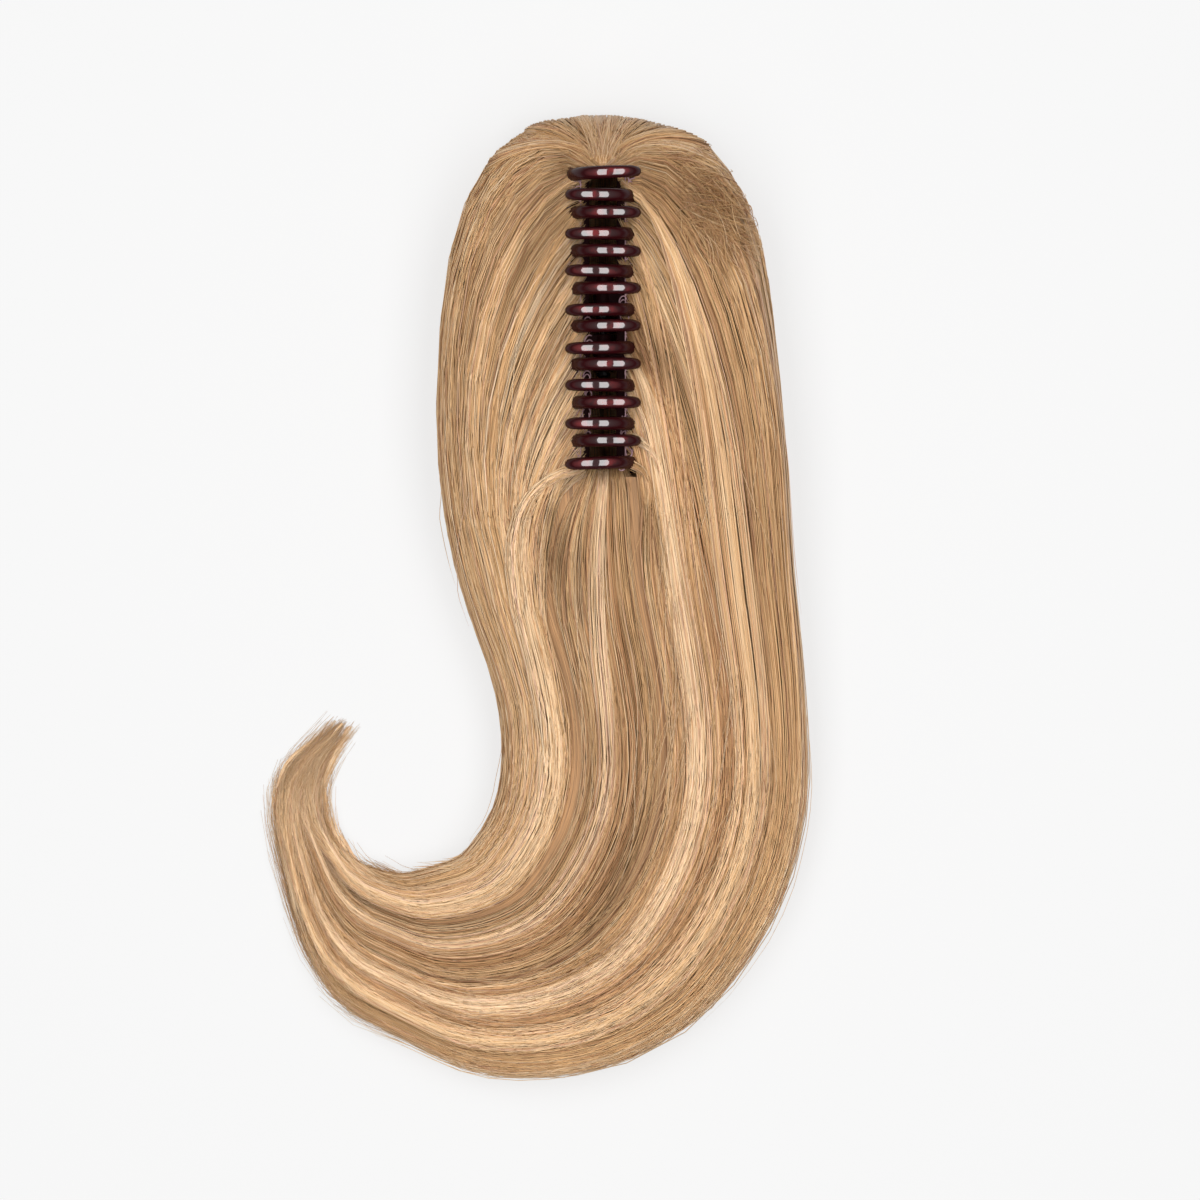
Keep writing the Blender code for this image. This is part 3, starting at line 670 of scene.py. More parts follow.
def bezier(corners, samples):
    """Points along cubic curves, one for each strand, by their four control points."""
    t = np.linspace(0, 1, samples)[None, :, None]
    a, b, c, d = (corner[:, None] for corner in corners)
    return (1 - t) ** 3 * a + 3 * (1 - t) ** 2 * t * b + 3 * (1 - t) * t * t * c + t**3 * d


def flow_paths(laid, rng, root_z, turn_samples=9, tail_samples=22):
    """Whole strands: out from their roots by the guides, then down the tail's lanes to their ends."""
    rows = laid["rows"]
    count = len(rows)
    root = rows[:, 0:2] * MM + rng.normal(0, 0.35 * MM, (count, 2))
    leave = np.radians(rows[:, 2] + rng.normal(0, 3.0, count))
    pull = rows[:, 3] * MM * rng.uniform(0.94, 1.06, count)
    join = CROWN_TOP - rows[:, 4] * MM + rng.normal(0, 2 * MM, count)
    lane = np.clip(rows[:, 5] + rng.normal(0, 0.002, count), FLOW_EDGE, 1 - FLOW_EDGE)
    handle = rows[:, 6] * MM * rng.uniform(0.97, 1.03, count)
    joined = FORM.lane_point(join, lane)
    direction = FORM.lane_point(join + 2 * MM, lane) - joined
    direction /= np.linalg.norm(direction, axis=1)[:, None]
    first = root + pull[:, None] * np.stack([np.cos(leave), np.sin(leave)], axis=1)
    second = joined - direction * handle[:, None]
    plan = bezier((root, first, second, joined), turn_samples)
    along_turn = CROWN_TOP - plan[..., 1]
    lane_turn = FORM.lane_of(plan[..., 0], plan[..., 1])
    share = np.linspace(0, 1, tail_samples + 1)[None, 1:] ** rng.uniform(0.70, 0.95, count)[:, None]
    end = FORM.end * laid["ends"]
    along_tail = join[:, None] + (end - join)[:, None] * share
    middle = laid["middle"][:, None]
    gather = 1 - 0.30 * smoothstep((share - 0.55) / 0.45)
    lane_tail = middle + (lane[:, None] - middle) * gather
    sway = laid["drift"][:, None] * np.sin(3.5 * share + laid["phase"][:, None])
    stray = rng.normal(0, 0.006, count)[:, None] * smoothstep(share * 1.5)
    cut = FORM.section(along_tail)
    span = np.linalg.norm(cut[..., 2:4] - cut[..., 0:2], axis=-1)
    splay = rng.normal(0, 2.4 * MM, count)[:, None] * smoothstep((share - 0.82) / 0.18)
    splay = splay / np.maximum(span, 3 * MM)
    lane_tail = lane_tail + sway * smoothstep(share * 2) + stray + splay
    along = np.concatenate([along_turn, along_tail], axis=1)
    lanes = np.concatenate([np.clip(lane_turn, FLOW_EDGE, 1 - FLOW_EDGE), lane_tail], axis=1)
    progress = np.concatenate([np.linspace(0, 1, turn_samples), np.ones(tail_samples)])[None, :]
    tuck = np.radians(laid["tuck"])[:, None] * smoothstep(progress * 1.6)
    ripple = laid["phase"][:, None] + along / (34 * MM)
    thin = 1 - 0.6 * smoothstep((along / FORM.end - 0.6) / 0.4)
    depth = (laid["inset"][:, None] + 0.13 * np.sin(ripple)) * MM * thin
    points = FORM.over(along, lanes, depth, FLOW_EDGE, tuck)
    travelled = np.linalg.norm(plan - root[:, None], axis=2)
    lift = smoothstep(travelled / (8 * MM))
    start_z = (root_z - np.abs(rng.normal(0, 1.2, count))) * MM
    points[:, :turn_samples, 2] = start_z[:, None] * (1 - lift) + points[:, :turn_samples, 2] * lift
    return points


def taper(samples, root=0.55, tip=0.25, start=0.12, finish=0.72):
    """The width along a strand, as shares of its full width."""
    t = np.linspace(0, 1, samples)
    swell = root + (1 - root) * smoothstep(t / start)
    return swell * (1 - (1 - tip) * smoothstep((t - finish) / (1 - finish)))


def strand_mesh(name, points, radii, colours, sides=3):
    """One mesh of closed tubes: points by strand and sample, radii and colours alike."""
    count, samples = points.shape[:2]
    along = np.gradient(points, axis=1)
    along /= np.maximum(np.linalg.norm(along, axis=2), 1e-9)[..., None]
    upright = np.array([0.13, 0.09, 1.0])
    across = np.cross(along, upright)
    across /= np.maximum(np.linalg.norm(across, axis=2), 1e-9)[..., None]
    up = np.cross(across, along)
    turn = 2 * math.pi * np.arange(sides) / sides + math.pi / 2
    ring = (
        across[:, :, None, :] * np.cos(turn)[None, None, :, None]
        + up[:, :, None, :] * np.sin(turn)[None, None, :, None]
    )
    verts = points[:, :, None, :] + ring * radii[:, :, None, None]
    verts[..., 2] = np.maximum(verts[..., 2], 0.1 * MM)
    index = np.arange(count * samples * sides).reshape(count, samples, sides)
    low = index[:, :-1]
    high = index[:, 1:]
    quads = np.stack([low, np.roll(low, -1, axis=2), np.roll(high, -1, axis=2), high], axis=-1).reshape(-1, 4)
    caps = np.concatenate([index[:, 0, ::-1].reshape(-1, sides), index[:, -1].reshape(-1, sides)])
    mesh = bpy.data.meshes.new(name)
    mesh.vertices.add(index.size)
    mesh.vertices.foreach_set("co", verts.astype(np.float32).ravel())
    mesh.loops.add(quads.size + caps.size)
    mesh.loops.foreach_set("vertex_index", np.concatenate([quads.ravel(), caps.ravel()]).astype(np.int32))
    mesh.polygons.add(len(quads) + len(caps))
    starts = np.concatenate([np.arange(len(quads)) * 4, quads.size + np.arange(len(caps)) * sides])
    mesh.polygons.foreach_set("loop_start", starts.astype(np.int32))
    mesh.update(calc_edges=True)
    mesh.shade_smooth()
    flat = mesh.attributes.new("sharp_face", "BOOLEAN", "FACE")
    flat.data.foreach_set("value", np.arange(len(quads) + len(caps)) >= len(quads))
    tone = mesh.color_attributes.new("strand_colour", "FLOAT_COLOR", "POINT")
    paint = np.ones((count, samples, sides, 4), np.float32)
    paint[..., :3] = colours[:, :, None, :]
    tone.data.foreach_set("color", paint.ravel())
    obj = bpy.data.objects.new(name, mesh)
    bpy.context.scene.collection.objects.link(obj)
    return obj


def spotted(points):
    """What the spots add to the tone at each point."""
    shift = np.zeros(points.shape[:-1])
    for x, y, along, across, heading, tone in SPOTS:
        turn = math.radians(heading)
        away = points[..., :2] / MM - np.array([x, y])
        reach = (away[..., 0] * math.cos(turn) + away[..., 1] * math.sin(turn)) / along
        beside = (away[..., 1] * math.cos(turn) - away[..., 0] * math.sin(turn)) / across
        shift += tone * np.exp(-(reach**2) - beside**2)
    return shift


def strand_colours(points, tone, inset, rng):
    """A colour for each point of a strand by its tone, paler towards its end, with painted shade: darker
    where it lies deep, lighter where it stands proud, and darker in the browner spots.
    """
    looks = bpy.context.scene.hair_colours
    brown, gold, pale = (np.array(c) for c in (looks.brown, looks.gold, looks.pale))
    count, samples = points.shape[:2]
    along = np.linspace(0, 1, samples)[None, :]
    spots = spotted(points)
    shift = spots + 0.10 * smooth_noise(rng.uniform(0, 1, count), 60, rng)[:, None] * np.sin(7 * along + 3)
    tone = np.clip((tone + rng.normal(0, 0.15, count))[:, None] + shift + 0.06 * along, 0, 1)[..., None]
    colour = np.where(tone < 0.5, brown + (gold - brown) * tone * 2, gold + (pale - gold) * (tone - 0.5) * 2)
    rose = rng.uniform(0, 1, (count, 1, 1)) < ROSE_SHARE
    colour = np.where(rose, colour * np.array(ROSE_TINT), colour)
    # Painted shade: deep strands are darkened and proud ones lightened, and browner spots darken them
    # further.
    shade = np.clip(1.05 - 0.13 * inset, 0.5, 1.10)[:, None] * (1 + 1.1 * np.minimum(spots, 0))
    return np.clip(colour * shade[..., None], 0, 1)


def hair_finish():
    """The strands' finish: their own colour with fine variation along them, and a soft sheen."""
    found = bpy.data.materials.get("hair_strands")
    if found:
        return found
    finish = Finish("hair_strands")
    colour = finish.node("ShaderNodeVertexColor", {"layer_name": "strand_colour"}).outputs["Color"]
    place = finish.node("ShaderNodeTexCoord").outputs["Object"]
    grain = finish.node("ShaderNodeTexNoise", {}, Vector=place, Scale=45.0, Detail=2.0)
    amount = finish.value(grain.outputs["Fac"])
    multiply = {"data_type": "RGBA", "blend_type": "MULTIPLY"}
    darker = finish.node("ShaderNodeMix", multiply, i0=1.0, i6=colour, i7=(0.55, 0.48, 0.42)).outputs[2]
    finish.set(
        Base_Color=finish.mix(amount * 0.45, colour, darker),
        Roughness=0.30 + amount * 0.25,
        IOR=1.45,
    )
    finish.shader.inputs["Specular IOR Level"].default_value = 0.45
    return finish.material


def dress(obj, material, slot, body=None):
    obj.data.materials.clear()
    obj.data.materials.append(material)
    if body:
        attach(obj, body)
    return obj


def add_flow(name, points, radii, colours, side):
    """Adds strands that start on a jaw, each parted past the jaw's end into an upper and a lower part."""
    finish = hair_finish()
    row = np.arange(len(points))
    cut = np.argmax(points[:, :, 1] < SPLIT_Y, axis=1)
    outside = np.abs(points[row, cut, 0]) > BLEND_TO + 1 * MM
    loose = np.abs(points[:, 0, 1]) > STILL_PAST
    low_end = ((0, BEND_FROM_Y, 0), (0, SPLIT_Y + 1 * MM, 0))
    beside = ((side * BLEND_FROM, 0, 0), (side * BLEND_TO, 0, 0))
    if loose.any():
        still = strand_mesh(f"{name}_still", points[loose], radii[loose], colours[loose])
        dress(still, finish, "hair", ROOT)
    lengths = []
    groups = (("roots", ~loose & outside, beside), ("lower", ~loose & ~outside, low_end))
    for word, picked, (start, end) in groups:
        if not picked.any():
            continue
        upper, lower = split_strands(points[picked], radii[picked], colours[picked])
        bends = dress(strand_mesh(f"{name}_{word}", *upper), finish, "hair")
        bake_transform(bends)
        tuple(start)
        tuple(end)
        lengths.append(lower)
    if lengths:
        joined = [np.concatenate(arrays) for arrays in zip(*lengths)]
        dress(strand_mesh(f"{name}_lengths", *joined), finish, "hair", ROOT)


def resample(points, radii, colours, low, high, shares):
    """Each strand read again between two places, counted in samples."""
    count, last = points.shape[0], points.shape[1] - 1
    at = low[:, None] + (high - low)[:, None] * shares[None, :]
    k = np.clip(np.floor(at).astype(int), 0, last - 1)
    t = (at - k)[..., None]
    row = np.arange(count)[:, None]
    before = points[row, np.maximum(k - 1, 0)]
    a = points[row, k]
    b = points[row, k + 1]
    after = points[row, np.minimum(k + 2, last)]
    square = 2 * before - 5 * a + 4 * b - after
    cube = 3 * a - before - 3 * b + after
    smooth = 0.5 * (2 * a + (b - before) * t + square * t**2 + cube * t**3)
    width = radii[row, k] * (1 - t[..., 0]) + radii[row, k + 1] * t[..., 0]
    tone = colours[row, k] * (1 - t) + colours[row, k + 1] * t
    return smooth, width, tone


def split_strands(points, radii, colours):
    """Parts each strand where it crosses the split line, into two with a shared end."""
    y = points[:, :, 1]
    split = SPLIT_Y - np.random.default_rng(5).uniform(0, SPLIT_SPREAD, len(points))
    k = np.maximum(np.argmax(y < split[:, None], axis=1), 1)
    row = np.arange(len(points))
    before = y[row, k - 1]
    t = (before - split) / np.maximum(before - y[row, k], 1e-9)
    place = k - 1 + np.clip(t, 0, 1)
    zero = np.zeros(len(points))
    last = np.full(len(points), points.shape[1] - 1.0)
    down = np.append(np.linspace(0, 0.997, 9), 1.0)
    upper = resample(points, radii, colours, zero, place, down)
    lower = resample(points, radii, colours, place, last, np.insert(np.linspace(0.002, 1, 21), 0, 0.0))
    return upper, lower


def finish_strands(laid, rng, root_z):
    """The points, radii and colours of laid strands."""
    points = flow_paths(laid, rng, root_z)
    count, samples = points.shape[:2]
    sizes = bpy.context.scene.hair_sizes
    radii = sizes.strand_radius * rng.uniform(0.7, 1.35, count)[:, None] * taper(samples)[None, :]
    return points, radii, strand_colours(points, laid["tone"], laid["inset"], rng)


def stack(parts):
    """Several sets of points, radii and colours as one."""
    return [np.concatenate(arrays) for arrays in zip(*parts)]


class HAIRPIECE_OT_side_hair(bpy.types.Operator):
    """Add the strands that grow from the left and right jaws"""

    bl_idname = "hairpiece.side_hair"
    bl_label = "Side hair"

    def execute(self, context):
        sizes = context.scene.hair_sizes
        for side, word, table, spread in ((-1, "left", LEFT_GUIDES, 0.9), (1, "right", RIGHT_GUIDES, 0.42)):
            rng = np.random.default_rng(100 + side)
            locks = int(sizes.strands * SIDE_SHARE / STRANDS_A_LOCK)
            surface = lay_locks(table, locks, STRANDS_A_LOCK, spread, rng)
            tucked = int(locks * TUCKED_SHARE)
            flank = lay_locks(table[:2], tucked, STRANDS_A_LOCK, 0.5, rng)
            flank["tuck"] = rng.uniform(0, 62, tucked).repeat(STRANDS_A_LOCK) + 5 * flank["u"]
            add_flow(f"hair_{word}", *finish_strands(surface, rng, SURFACE_ROOTS), side)
            add_flow(f"hair_{word}_flank", *finish_strands(flank, rng, FLANK_ROOTS), side)
            rows = [row for row in FEATURE_LOCKS if (row[5] - 0.5) * side > 0 and row[1] > CENTRE_LOCK_Y]
            parts = [finish_strands(lay_feature(row, rng), rng, LOCK_ROOTS) for row in rows]
            add_flow(f"hair_{word}_locks", *stack(parts), side)
        return {"FINISHED"}


def hollows(lane):
    """How far in the two hollows beside the centre hair a lane is, from 0 to 1."""
    return sum(depth * np.exp(-(((lane - middle) / HOLLOW_SPREAD) ** 2)) for middle, depth in HOLLOWS)


class HAIRPIECE_OT_centre_hair(bpy.types.Operator):
    """Add the strands that fan down from the clip's lower end"""

    bl_idname = "hairpiece.centre_hair"
    bl_label = "Centre hair"

    def execute(self, context):
        sizes = context.scene.hair_sizes
        rng = np.random.default_rng(7)
        locks = int(sizes.strands * CENTRE_SHARE / STRANDS_A_CENTRE_LOCK)
        laid = lay_locks(CENTRE_GUIDES, locks, STRANDS_A_CENTRE_LOCK, 0.35, rng)
        shadow = hollows(laid["middle"])
        laid["inset"] = laid["inset"] + 0.5 + 2.6 * shadow
        laid["tone"] = laid["tone"] - 0.15 * shadow
        parts = [finish_strands(laid, rng, CENTRE_ROOTS)]
        rows = [row for row in FEATURE_LOCKS if row[1] <= CENTRE_LOCK_Y]
        parts += [finish_strands(lay_feature(row, rng), rng, STREAK_ROOTS) for row in rows]
        dress(strand_mesh("hair_centre", *stack(parts)), hair_finish(), "hair", ROOT)
        return {"FINISHED"}


def crown_paths(count, rng, samples=15):
    """Short strands that rise from the parting, arch over the crown and drop behind it."""
    heading = rng.uniform(-1, 1, count)
    lane_edge = np.clip(0.5 + 0.85 * heading, 0.02, 0.98)
    aside = np.clip((np.abs(heading) - 0.42) / 0.58, 0, 1)
    along_edge = (rng.uniform(0, 1.2, count) + 20 * aside**2.3) * MM
    edge = FORM.lane_point(along_edge, lane_edge)
    root = np.stack([rng.normal(-0.5, 1.4, count), 50.0 + rng.uniform(-0.7, 0.5, count)], axis=1) * MM
    reach = np.linalg.norm(edge - root, axis=1)[:, None]
    turn = 0.75 * heading
    way = np.stack([np.sin(turn), np.cos(turn)], axis=1)
    first = root + way * reach * 0.55
    t = np.linspace(0, 1, samples - 4)[None, :, None]
    plan = (1 - t) ** 2 * root[:, None] + 2 * (1 - t) * t * first[:, None] + t * t * edge[:, None]
    lanes = np.clip(FORM.lane_of(plan[..., 0], plan[..., 1]), 0.001, 0.999)
    inset = (np.abs(rng.normal(0, 0.5, count)) - 0.3 + 0.8 * np.sin(heading * 22)) * MM
    depth = inset[:, None] * np.ones_like(lanes)
    top = FORM.over(CROWN_TOP - plan[..., 1], lanes, depth)
    lift = smoothstep(np.linalg.norm(plan - root[:, None], axis=2) / (8 * MM))
    top[..., 2] = CROWN_ROOTS * MM * (1 - lift) + top[..., 2] * lift
    shorter = smoothstep((np.abs(heading) - 0.4) / 0.4)
    reach_down = rng.uniform(0.8, 0.95, count) - 0.5 * rng.uniform(0, 1, count) * shorter
    drop = 1 - np.array([0.30, 0.61, 0.88, 1.0])[None, :, None] * reach_down[:, None, None]
    inward = np.array([0.0, 0.01, 0.03, 0.06])[None, :, None]
    last = top[:, -1:, :]
    flat = np.array([1, 1, 0])
    back = np.concatenate([root, np.zeros((count, 1))], axis=1)[:, None] - last
    low = last * flat + last * (1 - flat) * drop + back * inward * flat
    return np.concatenate([top, low], axis=1), inset


class HAIRPIECE_OT_crown_hair(bpy.types.Operator):
    """Add the short strands over the crown"""

    bl_idname = "hairpiece.crown_hair"
    bl_label = "Crown hair"

    def execute(self, context):
        sizes = context.scene.hair_sizes
        rng = np.random.default_rng(21)
        points, inset = crown_paths(sizes.crown_strands, rng)
        width = sizes.strand_radius * rng.uniform(0.7, 1.3, len(points))[:, None]
        width = width * taper(points.shape[1])[None, :]
        tone = 0.5 + 0.3 * smooth_noise(np.linspace(0, 1, len(points)), 14, rng)
        obj = strand_mesh("hair_crown", points, width, strand_colours(points, tone, inset / MM, rng))
        dress(obj, hair_finish(), "hair", ROOT)
        return {"FINISHED"}


class HAIRPIECE_OT_under_hair(bpy.types.Operator):
    """Add the strands on the underside, which the hairpiece lies on"""

    bl_idname = "hairpiece.under_hair"
    bl_label = "Under hair"

    def execute(self, context):
        sizes = context.scene.hair_sizes
        rng = np.random.default_rng(31)
        count = sizes.under_strands
        samples = 26
        side = rng.choice([-1.0, 1.0], count)[:, None] * np.ones((1, samples))
        angle = -np.radians(rng.uniform(36, 90, count))[:, None] * np.ones((1, samples))
        ends = rng.uniform(0.85, 1.0, count)
        along = 1.0 * MM + (FORM.end * ends)[:, None] * np.linspace(0, 0.995, samples)[None, :]
        inset = rng.uniform(0.3, 1.2, count) * MM
        points = FORM.surface(along, side, angle, inset[:, None] * np.ones((1, samples)))
        lanes = (0.5 + 0.5 * side * np.abs(np.cos(angle)) ** PLAN_POWER)[:, -1]
        tone = np.interp(lanes, *np.array(STREAKS).T)
        width = 1.6 * sizes.strand_radius * rng.uniform(0.8, 1.4, count)[:, None] * taper(samples)[None, :]
        obj = strand_mesh("hair_underside", points, width, strand_colours(points, tone, inset / MM, rng))
        dress(obj, hair_finish(), "hair", ROOT)
        return {"FINISHED"}


def clear_of_clip(points):
    """Which strands keep out of the room that the jaws swing through."""
    near = (np.abs(points[..., 0]) < JAW_SWING_X) & (np.abs(points[..., 1]) < JAW_SWING_Y)
    return ~near.any(axis=1)


class HAIRPIECE_OT_loose_hair(bpy.types.Operator):
    """Add the frizz beside the crown, the hairs that cross the lay and the wisps at the edges"""

    bl_idname = "hairpiece.loose_hair"
    bl_label = "Loose hair"

    def execute(self, context):
        sizes = context.scene.hair_sizes
        rng = np.random.default_rng(41)
        parts = [self.frizz(sizes.frizz, rng), self.strays(sizes.flyaways, rng), self.wisps(rng)]
        for word, (points, width, tone) in zip(("frizz", "strays", "wisps"), parts):
            count, samples = points.shape[:2]
            radii = width * sizes.strand_radius * rng.uniform(0.6, 1.1, count)[:, None]
            radii = radii * taper(samples, 0.5, 0.2)[None, :]
            colours = strand_colours(points, tone, np.zeros(count), rng)
            dress(strand_mesh(f"hair_{word}", points, radii, colours), hair_finish(), "hair", ROOT)
        return {"FINISHED"}

    @staticmethod
    def frizz(count, rng):
        """Short back-combed hairs that criss-cross to the right of the crown."""
        x = rng.uniform(FRIZZ_FROM_X, FRIZZ_TO_X, count)
        y = FRIZZ_TOP - (x - FRIZZ_FROM_X) * 0.35 - rng.uniform(0, FRIZZ_DROP, count)
        heading = np.radians(-12 - (x - FRIZZ_FROM_X) * 1.3 + rng.normal(0, 24, count))
        length = rng.uniform(7, 20, count)
        bend = rng.normal(0, 0.5, count)
        samples = 9
        t = np.linspace(-0.5, 0.5, samples)[None, :]
        turn = heading[:, None] + bend[:, None] * t
        step = length[:, None] / (samples - 1)
        path_x = x[:, None] + np.cumsum(np.cos(turn) * step, axis=1)
        path_y = y[:, None] + np.cumsum(np.sin(turn) * step, axis=1)
        lanes = np.clip(FORM.lane_of(path_x * MM, path_y * MM), 0.01, 0.99)
        depth = rng.uniform(-1.0, 0.6, count)[:, None] - 0.5 * (0.5 - 2 * t * t) + np.zeros_like(lanes)
        points = FORM.over(CROWN_TOP - path_y * MM, lanes, depth * MM)
        clear = clear_of_clip(points)
        return points[clear], 0.8, rng.uniform(0.15, 0.65, count)[clear]

    @staticmethod
    def strays(count, rng):
        """Single hairs that leave their lane and cross the lay above it."""
        samples = 16
        start = rng.uniform(0.16, 0.80, count)
        span = rng.uniform(0.08, 0.24, count)
        t = np.linspace(0, 1, samples)[None, :]
        along = FORM.end * np.clip(start[:, None] + span[:, None] * t, 0, 0.99)
        lane = rng.uniform(0.02, 0.98, count)
        across = rng.normal(0, 0.05, count)
        crossing = rng.uniform(0, 1, count) < 0.3
        start_lane = np.where(crossing, rng.uniform(0.60, 0.85, count), lane)
        across = np.where(crossing, rng.uniform(-0.22, -0.08, count), across)
        lanes = start_lane[:, None] + across[:, None] * t + 0.006 * np.sin(5 * t + lane[:, None] * 40)
        lanes = np.clip(lanes, -0.012, 1.012)
        depth = -(0.4 + 1.4 * np.sin(math.pi * t) * rng.uniform(0, 1, count)[:, None])
        points = FORM.over(along, lanes, depth * MM)
        clear = clear_of_clip(points)
        return points[clear], 0.62, rng.uniform(0.45, 1.0, count)[clear]

    @staticmethod
    def wisps(rng):
        """Ends that leave the outline: tufts inside the curl, at its tip and on its outer edge."""
        tufts = (
            # from share, to share, lane, leaves the outline by, strands
            (0.86, 0.93, 0.02, -0.42, 26),
            (0.83, 0.90, 0.03, -0.22, 22),
            (0.93, 1.00, 0.05, -0.55, 30),
            (0.94, 1.01, 0.60, -0.20, 30),
            (0.92, 0.99, 0.97, 0.30, 22),
            (0.66, 0.80, 0.995, 0.060, 14),
            (0.60, 0.72, 0.004, -0.045, 18),
            (0.50, 0.66, 0.004, -0.030, 14),
        )
        rows = np.repeat(np.array(tufts), [int(row[4]) for row in tufts], axis=0)
        count = len(rows)
        samples = 14
        t = np.linspace(0, 1, samples)[None, :]
        shift = rng.normal(0, 0.008, count)[:, None]
        begin = rows[:, 0:1] - 0.06 + shift
        share = begin + (rows[:, 1:2] - begin + rng.normal(0, 0.012, count)[:, None]) * t
        along = FORM.end * np.clip(share, 0, 0.995)
        out = rows[:, 3:4] * rng.uniform(0.15, 1.1, count)[:, None]
        inward = np.where(rows[:, 2:3] < 0.5, 1, -1) * rng.uniform(0, 0.10, count)[:, None]
        lanes = rows[:, 2:3] + inward * (1 - t) + out * t**2.2
        points = FORM.over(along, lanes, np.full(along.shape, -0.2 * MM))
        return points, 0.8, rng.uniform(0.5, 0.95, count)


def lofts_object(name, lofts):
    """One mesh of closed lofts through rings of equal counts of points, smooth but for its sharp edges."""
    build = bmesh.new()
    for rings in lofts:
        rows = [[build.verts.new(point) for point in ring] for ring in rings]
        count = len(rows[0])
        faces = []
        for row, after in zip(rows, rows[1:]):
            for k in range(count):
                n = (k + 1) % count
                faces.append(build.faces.new((row[k], row[n], after[n], after[k])))
        faces.append(build.faces.new(rows[0]))
        faces.append(build.faces.new(rows[-1]))
        bmesh.ops.recalc_face_normals(build, faces=faces)
    mesh = bpy.data.meshes.new(name)
    build.to_mesh(mesh)
    build.free()
    mesh.shade_smooth()
    mesh.set_sharp_from_angle(angle=math.radians(42))
    obj = bpy.data.objects.new(name, mesh)
    bpy.context.scene.collection.objects.link(obj)
    return obj


def bed_object(name, rings):
    """A loft of the bed that keeps, for its finish, how far round and along it each point is."""
    rings = np.array(rings)
    obj = lofts_object(name, [rings])
    sides = np.linalg.norm(np.roll(rings, -1, axis=1) - rings, axis=2)
    around = (np.cumsum(sides, axis=1) - sides) / sides.sum(axis=1, keepdims=True) * 0.25
    steps = np.linalg.norm(np.diff(rings.mean(axis=1), axis=0), axis=1)
    along = np.concatenate([[0.0], np.cumsum(steps)])[:, None] + np.zeros_like(around)
    lay = obj.data.attributes.new("lay", "FLOAT_VECTOR", "POINT")
    lay.data.foreach_set("vector", np.stack([around, along, np.zeros_like(around)], axis=-1).ravel())
    return obj


def bed_finish():
    """Deep hair: browner and darker than the strands on it, as painted shade between them, in fine streaks
    that run along the lay.
    """
    looks = bpy.context.scene.hair_colours
    finish = Finish("hair_bed")
    lay = finish.node("ShaderNodeAttribute", {"attribute_name": "lay"}).outputs["Vector"]
    fine = finish.node("ShaderNodeVectorMath", {"operation": "MULTIPLY"}, i0=lay, i1=(2300.0, 26.0, 1.0))
    broad = finish.node("ShaderNodeVectorMath", {"operation": "MULTIPLY"}, i0=lay, i1=(420.0, 9.0, 1.0))
    streak = finish.node("ShaderNodeTexNoise", {}, Vector=fine.outputs[0], Scale=1.0, Detail=3.0)
    lock = finish.node("ShaderNodeTexNoise", {}, Vector=broad.outputs[0], Scale=1.0, Detail=2.0)
    both = 0.65 * finish.value(streak.outputs["Fac"]) + 0.35 * finish.value(lock.outputs["Fac"])
    share = finish.node("ShaderNodeMapRange", {"clamp": True}, Value=both, From_Min=0.36, From_Max=0.64)
    bump = finish.node("ShaderNodeBump", {}, Strength=0.7, Distance=0.0005, Height=streak.outputs["Fac"])
    # Painted shade: the bed's dark colour, in darker and lighter streaks.
    finish.set(
        Base_Color=finish.mix(share.outputs[0], scaled(looks.bed, 0.45), scaled(looks.bed, 1.45)),
        Roughness=0.60,
        Normal=bump.outputs[0],
    )
    return finish.material


